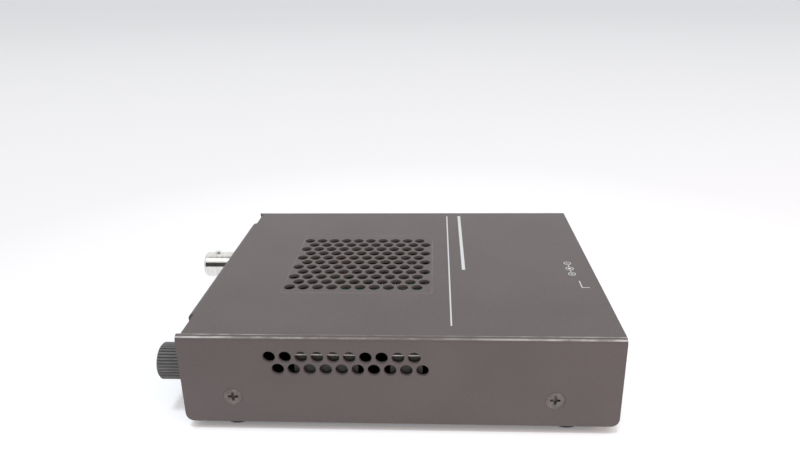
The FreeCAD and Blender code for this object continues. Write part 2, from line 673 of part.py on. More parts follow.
def make_coax_housing():
    """The black moulded block that holds the coaxial jack square to the board."""
    half = COAX_BLOCK_WIDTH / 2
    body = block((COAX_X - half, COAX_X + half), (BOARD_FRONT, BOARD_FRONT + COAX_BLOCK_LENGTH),
                 (BOARD_TOP, BOARD_TOP + COAX_BLOCK_HEIGHT))
    body = rounded(body, COAX_BLOCK_EDGE, lambda p: p.z > BOARD_TOP + COAX_BLOCK_HEIGHT - 0.01)
    depth = COAX_TAIL + 2 * PEG_GAP
    return body.cut(rod(COAX_BARREL, Vector(COAX_X, BOARD_FRONT - 1, FRONT_AXIS), ALONG_Y, depth + 1))


def make_coax_jack():
    """The turned and plated shell: threaded bush, barrel with two bayonet lugs, open nose."""
    tip = FRONT - COAX_PROUD
    bush_end = PLATE_FRONT - COAX_THREAD_LENGTH
    bush = COAX_THREAD / 2
    barrel = COAX_BARREL / 2
    bore = COAX_BORE / 2
    core = COAX_INSULATOR / 2
    back = BOARD_FRONT + COAX_TAIL
    floor = tip + COAX_BORE_DEPTH
    shoulder = BOARD_FRONT - PEG_GAP
    edge = COAX_CHAMFER
    outline = [(core, back), (barrel - PEG_GAP, back), (barrel - PEG_GAP, shoulder), (bush, shoulder),
               (bush, bush_end + edge), (bush - edge, bush_end), (barrel, bush_end), (barrel, tip + edge),
               (barrel - edge, tip), (bore + edge / 2, tip), (bore, tip + edge / 2), (bore, floor),
               (core, floor)]
    shell = turned(outline, Vector(COAX_X, 0, FRONT_AXIS), ALONG_Y)
    lug_y = tip + COAX_LUG_SETBACK
    lug_length = (COAX_LUG_SPAN - COAX_BARREL) / 2 + COAX_LUG_ROOT
    lugs = []
    for side in (1, -1):
        start = Vector(COAX_X, lug_y, FRONT_AXIS + side * (COAX_BARREL / 2 - COAX_LUG_ROOT))
        lugs.append(rod(COAX_LUG, start, ALONG_Z * side, lug_length))
    return joined([shell] + lugs)


def make_coax_insulator():
    tip = FRONT - COAX_PROUD
    nose = tip + COAX_INSULATOR_SETBACK
    radius = COAX_INSULATOR / 2 - 0.02
    back = BOARD_FRONT + COAX_TAIL
    hole = COAX_CONTACT / 2 + 0.02
    outline = [(hole, nose), (radius - 0.3, nose), (radius, nose + 0.3), (radius, back), (hole, back)]
    return turned(outline, Vector(COAX_X, 0, FRONT_AXIS), ALONG_Y)


def make_coax_contact():
    tip = FRONT - COAX_PROUD + COAX_INSULATOR_SETBACK + COAX_CONTACT_SETBACK
    floor = tip + COAX_CONTACT_DEPTH
    back = BOARD_FRONT + COAX_TAIL
    bore = COAX_CONTACT_BORE / 2
    outline = [(bore, tip), (COAX_CONTACT / 2, tip), (COAX_CONTACT / 2, back), (0, back), (0, floor),
               (bore, floor)]
    return turned(outline, Vector(COAX_X, 0, FRONT_AXIS), ALONG_Y)


def make_coax_washer():
    """A toothed lock washer between the plate and the nut."""
    bore = COAX_THREAD / 2 + COAX_HOLE_GAP
    rim = COAX_WASHER / 2
    outline = [(bore, 0), (rim, 0), (rim, -COAX_WASHER_THICK), (bore, -COAX_WASHER_THICK)]
    ring = turned(outline, Vector(COAX_X, PLATE_FRONT, FRONT_AXIS), ALONG_Y)
    notches = []
    low = FRONT_AXIS + COAX_WASHER / 2 - COAX_WASHER_NOTCH_DEPTH
    for step in range(COAX_WASHER_TEETH):
        notch = centred(0, PLATE_FRONT, low, COAX_WASHER_NOTCH, 4 * COAX_WASHER_THICK, 2)
        notch.rotate(Vector(0, 0, FRONT_AXIS), ALONG_Y, (step + 0.5) * 360 / COAX_WASHER_TEETH)
        notch.translate(Vector(COAX_X, 0, 0))
        notches.append(notch)
    return ring.cut(notches)


def make_coax_nut():
    face = PLATE_FRONT - COAX_WASHER_THICK
    corners = hexagon(Vector(COAX_X, face, FRONT_AXIS), COAX_NUT, ALONG_X, ALONG_Z)
    nut = extruded(corners, ALONG_Y * -COAX_NUT_THICK)
    chamfer = [(0, 1), (COAX_NUT, 1), (COAX_NUT, COAX_NUT_EDGE - COAX_NUT_THICK),
               (COAX_NUT / 2 - PEG_GAP, -COAX_NUT_THICK), (0, -COAX_NUT_THICK)]
    nut = nut.common(turned(chamfer, Vector(COAX_X, face, FRONT_AXIS), ALONG_Y))
    start = Vector(COAX_X, face + 1, FRONT_AXIS)
    return nut.cut(rod(COAX_THREAD + 2 * THREAD_GAP, start, ALONG_Y * -1, COAX_NUT_THICK + 2))


def fibre_port_centres():
    return [FIBRE_X - FIBRE_PITCH / 2, FIBRE_X + FIBRE_PITCH / 2]


def make_fibre_housing():
    """One moulded body with two keyed push-pull sockets side by side."""
    mouth = PLATE_FRONT - FIBRE_PROUD
    half = FIBRE_WIDTH / 2
    body = block((FIBRE_X - half, FIBRE_X + half), (mouth, mouth + FIBRE_LENGTH),
                 (BOARD_TOP, BOARD_TOP + FIBRE_HEIGHT))
    middle = BOARD_TOP + FIBRE_SOCKET_RISE
    cuts = []
    for x in fibre_port_centres():
        width = FIBRE_SOCKET_WIDTH / 2
        height = FIBRE_SOCKET_HEIGHT / 2
        cuts.append(block((x - width, x + width), (mouth - 1, mouth + FIBRE_SOCKET_DEPTH),
                          (middle - height, middle + height)))
        key = FIBRE_KEY_WIDTH / 2
        cuts.append(block((x - key, x + key), (mouth - 1, mouth + FIBRE_SOCKET_DEPTH),
                          (middle + height - 1, middle + height + FIBRE_KEY_HEIGHT)))
    return body.cut(cuts)


def make_fibre_sleeve(x):
    """The split sleeve at the bottom of a socket, which lines up the plug's ferrule."""
    floor = PLATE_FRONT - FIBRE_PROUD + FIBRE_SOCKET_DEPTH
    middle = BOARD_TOP + FIBRE_SOCKET_RISE
    bore = FIBRE_SLEEVE_BORE / 2
    outline = [(bore, floor - FIBRE_SLEEVE_LENGTH), (FIBRE_SLEEVE / 2, floor - FIBRE_SLEEVE_LENGTH),
               (FIBRE_SLEEVE / 2, floor), (0, floor), (0, floor - 1), (bore, floor - 1)]
    return turned(outline, Vector(x, 0, middle), ALONG_Y)


def make_led_holder():
    width = LED_COUNT * LED_PITCH
    body = block((LED_X - width / 2, LED_X + width / 2), (BOARD_FRONT, BOARD_FRONT + LED_HOLDER_DEPTH),
                 (BOARD_TOP, BOARD_TOP + LED_HOLDER_HEIGHT))
    fit = LED_DIAMETER + 2 * PEG_GAP
    deep = LED_TAIL + PEG_GAP
    holes = [rod(fit, Vector(place.x, BOARD_FRONT - 1, place.z), ALONG_Y, deep + 1) for place in led_places()]
    return body.cut(holes)


def make_led(place):
    radius = LED_DIAMETER / 2
    back = BOARD_FRONT + LED_TAIL
    body = rod(LED_DIAMETER, Vector(place.x, PLATE_FRONT - LED_PROUD + radius, place.z), ALONG_Y,
               back - PLATE_FRONT + LED_PROUD - radius)
    dome = Part.makeSphere(radius, Vector(place.x, PLATE_FRONT - LED_PROUD + radius, place.z))
    return joined([body, dome])


def lever_window():
    """Left and right edge of the slot that the switch's lever travels in."""
    left = SWITCH_X - (LEVER_WIDTH + LEVER_TRAVEL) / 2 - LEVER_GAP
    right = SWITCH_X + (LEVER_WIDTH + LEVER_TRAVEL) / 2 + LEVER_GAP
    return left, right


def make_switch_body():
    """An open-fronted case for the sliding shoe, soldered to the board behind the plate."""
    half = SWITCH_WIDTH / 2
    back = BOARD_FRONT + SWITCH_DEPTH
    body = block((SWITCH_X - half, SWITCH_X + half), (BOARD_FRONT, back),
                 (BOARD_TOP, BOARD_TOP + SWITCH_HEIGHT))
    shoe_half = (LEVER_SHOE + LEVER_TRAVEL) / 2 + LEVER_GAP
    middle = BOARD_TOP + SWITCH_RISE
    high = LEVER_HEIGHT / 2 + LEVER_GAP + 0.6
    chamber_front = BOARD_FRONT + SWITCH_WALL
    chamber_back = chamber_front + LEVER_SHOE_DEPTH + 2 * LEVER_GAP
    chamber = block((SWITCH_X - shoe_half, SWITCH_X + shoe_half), (chamber_front, chamber_back),
                    (middle - high, middle + high))
    left, right = lever_window()
    slot = block((left, right), (BOARD_FRONT - 1, chamber_back),
                 (middle - LEVER_HEIGHT / 2 - LEVER_GAP, middle + LEVER_HEIGHT / 2 + LEVER_GAP))
    return body.cut([chamber, slot])


def make_switch_lever():
    """The lever and its shoe, at the left end of the travel."""
    x = SWITCH_X - LEVER_TRAVEL / 2
    middle = BOARD_TOP + SWITCH_RISE
    shoe_front = BOARD_FRONT + SWITCH_WALL + LEVER_GAP
    stem = block((x - LEVER_WIDTH / 2, x + LEVER_WIDTH / 2), (PLATE_FRONT - LEVER_PROUD, shoe_front + 1),
                 (middle - LEVER_HEIGHT / 2, middle + LEVER_HEIGHT / 2))
    high = LEVER_HEIGHT / 2 + 0.6
    shoe = block((x - LEVER_SHOE / 2, x + LEVER_SHOE / 2), (shoe_front, shoe_front + LEVER_SHOE_DEPTH),
                 (middle - high, middle + high))
    return joined([stem, shoe])


def make_thumbscrew():
    """A straight-knurled head on a captive screw with a plain neck behind it."""
    back = PLATE_FRONT - THUMB_FRONT_GAP
    tip = back - THUMB_HEAD_LENGTH
    outer = THUMB_HEAD / 2
    inner = outer - THUMB_TOOTH_DEPTH
    knurl = []
    for tooth in range(THUMB_TEETH):
        for radius, part in ((inner, 0.0), (outer, 0.35), (outer, 0.65)):
            angle = 2 * math.pi * (tooth + part) / THUMB_TEETH
            across = radius * math.cos(angle)
            up = radius * math.sin(angle)
            knurl.append(Vector(THUMB_X + across, tip, FRONT_AXIS + up))
    collar_front = back - THUMB_COLLAR_LENGTH
    head = extruded(knurl, ALONG_Y * (collar_front - tip))
    limit = [(0, tip), (outer - THUMB_CHAMFER, tip), (outer, tip + THUMB_CHAMFER),
             (outer, collar_front), (0, collar_front)]
    head = head.common(turned(limit, Vector(THUMB_X, 0, FRONT_AXIS), ALONG_Y))
    neck_end = EAR_BACK
    thread = THUMB_THREAD / 2
    shank_end = PLATE_BACK + THUMB_REACH
    collar = THUMB_COLLAR / 2
    neck = THUMB_NECK / 2
    shank = [(0, collar_front), (collar, collar_front), (collar, back), (neck, back), (neck, neck_end),
             (thread, neck_end + thread - neck), (thread, shank_end - THUMB_POINT),
             (thread - THUMB_POINT, shank_end), (0, shank_end)]
    return joined([head, turned(shank, Vector(THUMB_X, 0, FRONT_AXIS), ALONG_Y)])


# ---- parts soldered to the boards ----
def save_boxed(part, board_front, bevel):
    """A moulded package with a bevelled top, sitting on its board."""
    name, x, behind, width, depth, height = part
    body = centred(x, board_front + behind, BOARD_TOP, width, depth, height)
    top = [edge for edge in body.Edges if all(v.Point.z > BOARD_TOP + height - 0.01 for v in edge.Vertexes)]
    save(name, body.makeChamfer(bevel, top))


def make_can(x, y, diameter, height):
    """A capacitor's can: a rolled groove near the base and a bevelled top edge."""
    radius = diameter / 2
    outline = [(0, 0), (radius, 0), (radius, height * 0.14), (radius * 0.93, height * 0.19),
               (radius, height * 0.24), (radius, height - CAN_EDGE), (radius - CAN_EDGE, height), (0, height)]
    return turned(outline, Vector(x, y, BOARD_TOP), ALONG_Z)


def make_surge_capacitor():
    """A dipped capacitor on end: a bead with a domed top."""
    radius = SURGE_DIAMETER / 2
    outline = [(0, 0), (radius * 0.6, 0), (radius, radius * 0.6), (radius, SURGE_HEIGHT - radius),
               (radius * 0.7, SURGE_HEIGHT - radius * 0.3), (radius * 0.3, SURGE_HEIGHT), (0, SURGE_HEIGHT)]
    return turned(outline, Vector(SURGE_X, BOARD_FRONT + SURGE_BEHIND, BOARD_TOP), ALONG_Z)


# ---- connector between module and power board ----
def pin_centres():
    first = -(PIN_COUNT - 1) / 2 * PIN_PITCH
    return [first + i * PIN_PITCH for i in range(PIN_COUNT)]


def make_module_socket():
    body = block((-CONNECTOR_HALF, CONNECTOR_HALF), (BOARD_REAR - SOCKET_DEPTH, BOARD_REAR),
                 (BOARD_TOP, BOARD_TOP + CONNECTOR_HEIGHT))
    half = PIN_SIZE / 2 + PIN_GAP
    middle = BOARD_TOP + PIN_RISE
    holes = [block((x - half, x + half), (BOARD_REAR - PIN_REACH - 2 * PIN_GAP, BOARD_REAR + 1),
                   (middle - half, middle + half)) for x in pin_centres()]
    return body.cut(holes)


def make_power_header():
    face = BOARD_REAR + MATE_GAP
    body = block((-CONNECTOR_HALF, CONNECTOR_HALF), (face, face + HEADER_DEPTH),
                 (BOARD_TOP, BOARD_TOP + CONNECTOR_HEIGHT))
    half = PIN_SIZE / 2
    middle = BOARD_TOP + PIN_RISE
    start = face + MATE_GAP - PIN_REACH
    pins = [block((x - half, x + half), (start, face + 1), (middle - half, middle + half))
            for x in pin_centres()]
    return joined([body] + pins)


# ---- power board ----
def power_screw_places():
    x = POWER_BOARD_WIDTH / 2 - POWER_SCREW_INSET
    return [Vector(side * x, y, BOARD_TOP) for side in (-1, 1)
            for y in (POWER_BOARD_FRONT + POWER_SCREW_INSET, POWER_BOARD_REAR - POWER_SCREW_INSET)]


def make_power_board():
    half = POWER_BOARD_WIDTH / 2
    board = block((-half, half), (POWER_BOARD_FRONT, POWER_BOARD_REAR), (BOARD_BOTTOM, BOARD_TOP))
    hole = SCREW_THREAD + 2 * BOARD_SCREW_GAP
    return board.cut([rod(hole, place - ALONG_Z * 3, ALONG_Z, 4) for place in power_screw_places()])


def make_standoff(place):
    """A hexagonal pillar, tapped right through."""
    foot = Vector(place.x, place.y, TRAY_FLOOR)
    height = BOARD_BOTTOM - TRAY_FLOOR
    pillar = extruded(hexagon(foot, STANDOFF, ALONG_X, ALONG_Y), ALONG_Z * height)
    return pillar.cut(rod(SCREW_THREAD + 2 * THREAD_GAP, foot, ALONG_Z, height))


def make_dc_jack():
    """The barrel jack's moulded body, with a round collar that fills the hole in the rear wall."""
    rear = REAR_WALL - TRAY_SHEET - JACK_HOLE_GAP
    axis = Vector(JACK_X, 0, BOARD_TOP + JACK_AXIS_RISE)
    body = block((JACK_X - JACK_WIDTH / 2, JACK_X + JACK_WIDTH / 2), (rear - JACK_LENGTH, rear),
                 (BOARD_TOP, BOARD_TOP + JACK_HEIGHT))
    collar_end = REAR_WALL + JACK_COLLAR_PROUD
    collar = rod(JACK_COLLAR, axis + ALONG_Y * (rear - 1), ALONG_Y, collar_end - rear + 1)
    bore = rod(JACK_BORE, axis + ALONG_Y * (collar_end - JACK_BORE_DEPTH), ALONG_Y, JACK_BORE_DEPTH + 1)
    return joined([body, collar]).cut(bore)


def make_jack_pin():
    end = REAR_WALL + JACK_COLLAR_PROUD
    floor = end - JACK_BORE_DEPTH
    tip = end - JACK_PIN_SETBACK
    radius = JACK_PIN / 2
    outline = [(0, floor), (radius, floor), (radius, tip - radius), (radius * 0.7, tip - radius * 0.3),
               (0, tip)]
    return turned(outline, Vector(JACK_X, 0, BOARD_TOP + JACK_AXIS_RISE), ALONG_Y)


def make_fuse():
    """A glass tube with a metal cap at each end, sealed as one."""
    half = FUSE_LENGTH / 2
    glass = FUSE_DIAMETER / 2
    cap = FUSE_CAP_SIZE / 2
    outline = [(0, -half), (cap, -half), (cap, -half + FUSE_CAP), (glass, -half + FUSE_CAP),
               (glass, half - FUSE_CAP), (cap, half - FUSE_CAP), (cap, half), (0, half)]
    return turned(outline, Vector(FUSE_X, FUSE_Y, BOARD_TOP + FUSE_RISE), ALONG_Y)


def make_fuse_clip(end):
    """A spring clip: a folded strip with a cheek each side of the fuse's cap."""
    y = FUSE_Y + end * (FUSE_LENGTH - FUSE_CAP) / 2
    reach = FUSE_CAP_SIZE / 2 + CLIP_SHEET
    top = BOARD_TOP + FUSE_RISE + FUSE_CAP_SIZE / 2
    corners = [(FUSE_X - reach, top), (FUSE_X - reach, BOARD_TOP),
               (FUSE_X + reach, BOARD_TOP), (FUSE_X + reach, top)]
    return bent_sheet(corners, CLIP_SHEET, CLIP_SHEET, lambda p: Vector(p.x, y - CLIP_WIDTH / 2, p.y),
                      ALONG_Y * CLIP_WIDTH)


def make_choke():
    """A wound ring lying flat on the board, with its edges rounded by the winding."""
    outer = CHOKE_OUTSIDE / 2
    inner = CHOKE_INSIDE / 2
    edge = CHOKE_EDGE
    high = CHOKE_HEIGHT
    outline = [(inner + edge, 0), (outer - edge, 0), (outer, edge), (outer, high - edge),
               (outer - edge, high), (inner + edge, high), (inner, high - edge), (inner, edge)]
    return turned(outline, Vector(CHOKE_X, CHOKE_Y, BOARD_TOP), ALONG_Z)


def make_diode():
    """An axial rectifier lying on the board, its leads bent down at each end."""
    centre = Vector(DIODE_X, DIODE_Y, BOARD_TOP + DIODE_DIAMETER / 2)
    body = rod(DIODE_DIAMETER, centre - ALONG_Y * DIODE_LENGTH / 2, ALONG_Y, DIODE_LENGTH)
    reach = DIODE_SPAN / 2
    lead = rod(DIODE_LEAD, centre - ALONG_Y * reach, ALONG_Y, DIODE_SPAN)
    legs = [rod(DIODE_LEAD, Vector(centre.x, centre.y + side * (reach - DIODE_LEAD / 2), BOARD_TOP), ALONG_Z,
                DIODE_DIAMETER / 2 + DIODE_LEAD / 2) for side in (-1, 1)]
    return joined([body, lead] + legs)


# ---- the whole converter ----
os.makedirs("parts", exist_ok=True)

save("top_cover", make_top_cover())
save("base_tray", make_base_tray())
screws = [make_cover_screw(y) for y in COVER_SCREW_Y]
save("cover_screws", screws + [mirrored(screw) for screw in screws])
inserts = [make_tray_insert(y) for y in COVER_SCREW_Y]
save("tray_inserts", inserts + [mirrored(insert) for insert in inserts])
for end, foot_y in (("front", FRONT + FOOT_INSET_Y), ("rear", REAR - FOOT_INSET_Y)):
    for side, foot_x in (("left", FOOT_INSET_X - HALF_WIDTH), ("right", HALF_WIDTH - FOOT_INSET_X)):
        save(f"foot_{end}_{side}", make_foot(foot_x, foot_y))
save("card_guide_right", make_card_guide())
save("card_guide_left", mirrored(make_card_guide()))
save("thumbscrew_insert", make_thumbscrew_insert())

save("faceplate", make_faceplate())
save("module_board", make_module_board())
save("board_screws", [make_pan_screw(place, BOARD_SCREW_THREAD, BOARD_SCREW_HEAD, BOARD_SCREW_HEAD_HEIGHT,
                                     BOARD_SCREW_LENGTH) for place in board_screw_places()])
save("coax_housing", make_coax_housing())
save("coax_jack", make_coax_jack())
save("coax_insulator", make_coax_insulator())
save("coax_contact", make_coax_contact())
save("coax_washer", make_coax_washer())
save("coax_nut", make_coax_nut())
save("fibre_housing", make_fibre_housing())
for name, port_x in zip(("transmit", "receive"), fibre_port_centres()):
    save(f"fibre_sleeve_{name}", make_fibre_sleeve(port_x))
save("led_holder", make_led_holder())
for number, led_place in enumerate(led_places(), 1):
    save(f"status_led_{number}", make_led(led_place))
save("switch_body", make_switch_body())
save("switch_lever", make_switch_lever())
save("thumbscrew", make_thumbscrew())
for small in (LINE_DRIVER, TANTALUM):
    save_boxed(small, BOARD_FRONT, SMALL_BEVEL)
for large in (ENCODER, TRANSFORMER, SUPPLY, OSCILLATOR):
    save_boxed(large, BOARD_FRONT, LARGE_BEVEL)
for can_name, can_x, behind in CANS:
    save(can_name, make_can(can_x, BOARD_FRONT + behind, CAN_DIAMETER, CAN_HEIGHT))
save("surge_capacitor", make_surge_capacitor())
save("module_socket", make_module_socket())

save("power_header", make_power_header())
save("power_board", make_power_board())
save("board_standoffs", [make_standoff(place) for place in power_screw_places()])
save("power_board_screws", [make_pan_screw(place, SCREW_THREAD, POWER_SCREW_HEAD, POWER_SCREW_HEAD_HEIGHT,
                                           POWER_SCREW_LENGTH) for place in power_screw_places()])
save("dc_jack", make_dc_jack())
save("dc_jack_pin", make_jack_pin())
save("input_fuse", make_fuse())
save("fuse_clip_front", make_fuse_clip(-1))
save("fuse_clip_rear", make_fuse_clip(1))
save("input_choke", make_choke())
save("reservoir_capacitor", make_can(RESERVOIR_X, RESERVOIR_Y, RESERVOIR_DIAMETER, RESERVOIR_HEIGHT))
save_boxed(REGULATOR, POWER_BOARD_FRONT, SMALL_BEVEL)
save("input_diode", make_diode())
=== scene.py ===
import math

import bmesh
import bpy
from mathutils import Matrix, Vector


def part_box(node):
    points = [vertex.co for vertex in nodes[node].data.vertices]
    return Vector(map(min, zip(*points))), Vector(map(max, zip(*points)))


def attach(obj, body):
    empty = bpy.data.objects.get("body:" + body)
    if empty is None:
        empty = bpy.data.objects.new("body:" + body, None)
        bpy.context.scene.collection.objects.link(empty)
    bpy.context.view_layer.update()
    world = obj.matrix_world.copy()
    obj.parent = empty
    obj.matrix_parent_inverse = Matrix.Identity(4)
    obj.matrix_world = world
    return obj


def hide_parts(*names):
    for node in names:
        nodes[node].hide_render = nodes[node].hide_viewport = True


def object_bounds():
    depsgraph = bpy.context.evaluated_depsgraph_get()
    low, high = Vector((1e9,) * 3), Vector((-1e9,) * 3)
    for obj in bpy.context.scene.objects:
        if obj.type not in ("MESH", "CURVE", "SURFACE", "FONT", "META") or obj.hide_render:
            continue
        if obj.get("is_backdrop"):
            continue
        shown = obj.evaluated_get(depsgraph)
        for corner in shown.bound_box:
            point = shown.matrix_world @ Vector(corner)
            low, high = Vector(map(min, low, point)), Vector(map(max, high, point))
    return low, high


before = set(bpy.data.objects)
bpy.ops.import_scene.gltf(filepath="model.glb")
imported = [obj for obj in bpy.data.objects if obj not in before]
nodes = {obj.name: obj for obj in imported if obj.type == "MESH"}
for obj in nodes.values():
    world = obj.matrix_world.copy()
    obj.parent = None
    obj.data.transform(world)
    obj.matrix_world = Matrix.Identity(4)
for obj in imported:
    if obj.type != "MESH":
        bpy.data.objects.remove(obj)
cad_low, cad_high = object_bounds()
mm = 0.001


# ---- base tray ----
# Folded from 1.2 mm steel and powder coated in a deeper shade than the cover's warm dark grey. Its
# tabs were sheared after coating, so the upper edges of the side walls are bare metal.
coat_deep, coat_light = (0.109, 0.088, 0.0855), (0.123, 0.102, 0.0995)
# The steel colours paint bare metal, and also the painted highlight along the cover's folds.
steel_dull, steel_bright = (0.86, 0.83, 0.80), (1.10, 1.07, 1.03)
pale_ink = (0.80, 0.80, 0.79)
edge_width = 1.3 * mm
bare_from, bare_to = 24.3 * mm, 25 * mm


def new_material(finish):
    """A material with its own Principled shader, named after the part's finish."""
    material = bpy.data.materials.new(finish)
    material.use_nodes = True
    return material, material.node_tree.nodes, material.node_tree.links


def noise(made, links, place, size, detail=2.0, stretch=(1, 1, 1)):
    """Noise whose features are about this size in metres, in the part's own coordinates."""
    mapping = made.new("ShaderNodeMapping")
    mapping.inputs["Scale"].default_value = stretch
    links.new(place, mapping.inputs["Vector"])
    texture = made.new("ShaderNodeTexNoise")
    texture.inputs["Scale"].default_value = 1 / size
    texture.inputs["Detail"].default_value = detail
    links.new(mapping.outputs["Vector"], texture.inputs["Vector"])
    return texture.outputs["Fac"]


def between(made, links, value, low, high, start=0.3, end=0.7):
    """Spreads a value from start..end over low..high."""
    spread = made.new("ShaderNodeMapRange")
    spread.inputs["From Min"].default_value = start
    spread.inputs["From Max"].default_value = end
    spread.inputs["To Min"].default_value = low
    spread.inputs["To Max"].default_value = high
    links.new(value, spread.inputs["Value"])
    return spread.outputs["Result"]


def calculated(made, links, operation, first, second=0.0):
    """One sum of two values, each a number or another node's output."""
    sum_node = made.new("ShaderNodeMath")
    sum_node.operation = operation
    for socket, value in zip(sum_node.inputs, (first, second)):
        if isinstance(value, bpy.types.NodeSocket):
            links.new(value, socket)
        else:
            socket.default_value = value
    return sum_node.outputs["Value"]


def product(made, links, first, *others):
    """The values multiplied together, in order."""
    for other in others:
        first = calculated(made, links, "MULTIPLY", first, other)
    return first


def blended(made, links, factor, first, second):
    """Two colours mixed by a factor, each a colour or another node's output."""
    mix = made.new("ShaderNodeMix")
    mix.data_type = "RGBA"
    links.new(factor, mix.inputs["Factor"])
    for name, colour in (("A", first), ("B", second)):
        socket = [entry for entry in mix.inputs if entry.name == name and entry.type == "RGBA"][0]
        if isinstance(colour, bpy.types.NodeSocket):
            links.new(colour, socket)
        else:
            socket.default_value = (*colour, 1)
    return [entry for entry in mix.outputs if entry.type == "RGBA"][0]


def bumped(made, links, shader, height, rise, strength=1.0):
    """Lifts the surface's shading by the height, a value of 0 to 1, times the rise."""
    bump = made.new("ShaderNodeBump")
    bump.inputs["Distance"].default_value = rise
    bump.inputs["Strength"].default_value = strength
    links.new(height, bump.inputs["Height"])
    links.new(bump.outputs["Normal"], shader.inputs["Normal"])


def own_place(made):
    """Where a point lies in the part's own metres."""
    return made.new("ShaderNodeTexCoord").outputs["Object"]


def dressed(material, *names):
    """Gives the finish to CAD nodes, which keep their own shape."""
    for name in names:
        data = nodes[name].data
        data.materials.clear()
        data.materials.append(material)


def shaded(colour, share):
    """The colour with every channel made darker or lighter."""
    return tuple(channel * share for channel in colour)


def powder_coat(finish, bare_and_sheen=None, inked=None, depth=1.0, shine=0.55):
    """Satin powder coat. bare_and_sheen and inked say where steel colour and ink show, by x, y and
    z. The steel colour is bare metal, and on the cover's folds it is also a painted highlight.
    """
    material, made, links = new_material(finish)
    shader = made["Principled BSDF"]
    place = own_place(made)
    clouds = noise(made, links, place, 24 * mm, 3.0)
    fleck = noise(made, links, place, 0.5 * mm)
    skin = noise(made, links, place, 0.32 * mm, 3.0)
    deep, light = shaded(coat_deep, depth), shaded(coat_light, depth)
    tint = blended(made, links, between(made, links, clouds, 0, 1), deep, light)
    tint = blended(made, links, between(made, links, fleck, 0, 0.5, 0.55, 0.8), tint,
                   shaded(light, 1.35))
    split = made.new("ShaderNodeSeparateXYZ")
    links.new(place, split.inputs["Vector"])
    gloss = between(made, links, skin, 0.42, 0.58)
    if inked:
        tint = blended(made, links, inked(made, links, *split.outputs), tint, pale_ink)
    # Steel colour laid over the coat: bare metal, and on the cover's folds a painted highlight too.
    if bare_and_sheen:
        bare_and_sheen_mask = bare_and_sheen(made, links, *split.outputs)
        steel = blended(made, links, between(made, links, skin, 0, 1),
                        shaded(steel_dull, shine), shaded(steel_bright, shine))
        tint = blended(made, links, bare_and_sheen_mask, tint, steel)
        polish = calculated(made, links, "MULTIPLY", bare_and_sheen_mask, 0.12)
        gloss = calculated(made, links, "SUBTRACT", gloss, polish)
    links.new(tint, shader.inputs["Base Color"])
    links.new(gloss, shader.inputs["Roughness"])
    bumped(made, links, shader, skin, 0.02 * mm)
    return material


def sheared_edge(made, links, x, y, z):
    """The thin upper edge of the side walls: near the outer face and above the board."""
    inner_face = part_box("base_tray")[1].x - edge_width
    across = calculated(made, links, "ABSOLUTE", x)
    wall = calculated(made, links, "GREATER_THAN", across, inner_face)
    top = calculated(made, links, "GREATER_THAN", z, bare_from)
    under_lid = calculated(made, links, "LESS_THAN", z, bare_to)
    return product(made, links, wall, top, under_lid)


dressed(powder_coat("tray_paint", sheared_edge, depth=0.22, shine=0.85), "base_tray")


# ---- clinch nuts, pillars and plated screws ----
# Turned steel, zinc plated and passivated: bright, a little blue, with fine turning lines. The nuts
# and pillars are pressed into the sheet, and the screws hold the boards.
def textured(finish, colours, patch, grain, rough, bump, metallic=0.0, stretch=(1, 1, 1),
             coat=0.0):
    """A finish whose colour and gloss drift in patches, with a fine grain in its surface."""
    material, made, links = new_material(finish)
    shader = made["Principled BSDF"]
    place = own_place(made)
    patches = noise(made, links, place, patch, 4.0, stretch)
    grains = noise(made, links, place, grain, 3.0, stretch)
    links.new(blended(made, links, between(made, links, patches, 0, 1), *colours),
              shader.inputs["Base Color"])
    links.new(between(made, links, grains, *rough), shader.inputs["Roughness"])
    bumped(made, links, shader, grains, bump)
    shader.inputs["Metallic"].default_value = metallic
    shader.inputs["Coat Weight"].default_value = coat
    return material


zinc = textured("zinc_plate", ((0.54, 0.56, 0.58), (0.68, 0.69, 0.69)), 4 * mm, 0.3 * mm,
                (0.26, 0.44), 0.008 * mm, metallic=1.0, stretch=(1, 0.3, 1))
dressed(zinc, "tray_inserts", "thumbscrew_insert", "board_standoffs", "power_board_screws",
        "board_screws")


# ---- feet ----
# Four moulded rubber buttons, matt black with a fine grain and a dusty skin. Each is stuck under a
# corner of the tray.
rubber = textured("rubber_foot", ((0.018, 0.018, 0.018), (0.036, 0.035, 0.034)), 3 * mm, 0.25 * mm,
                  (0.7, 0.9), 0.03 * mm)
dressed(rubber, "foot_front_left", "foot_front_right", "foot_rear_left", "foot_rear_right")


# ---- card guides ----
# Channels moulded in black nylon, with a lead-in at the front. Each is held by two pegs in the
# tray's side wall.
nylon = textured("guide_plastic", ((0.028, 0.028, 0.029), (0.044, 0.043, 0.042)), 5 * mm, 0.3 * mm,
                 (0.42, 0.6), 0.012 * mm)


def only(*pieces):
    """Selects just these pieces, the first one active."""
    bpy.ops.object.select_all(action="DESELECT")
    for piece in pieces:
        piece.select_set(True)
    bpy.context.view_layer.objects.active = pieces[0]


def modified(piece, kind, **settings):
    """Adds a modifier and applies it."""
    only(piece)
    modifier = piece.modifiers.new(kind.lower(), kind)
    for name, value in settings.items():
        setattr(modifier, name, value)
    bpy.ops.object.modifier_apply(modifier=modifier.name)


def softened(piece, width, segments=2, angle=40):
    """Breaks the sharp edges, then smooths the skin between them."""
    modified(piece, "BEVEL", width=width, segments=segments, limit_method="ANGLE",
             angle_limit=math.radians(angle), use_clamp_overlap=False)
    only(piece)
    bpy.ops.object.shade_smooth_by_angle(angle=math.radians(35))
    modified(piece, "WEIGHTED_NORMAL", keep_sharp=True)


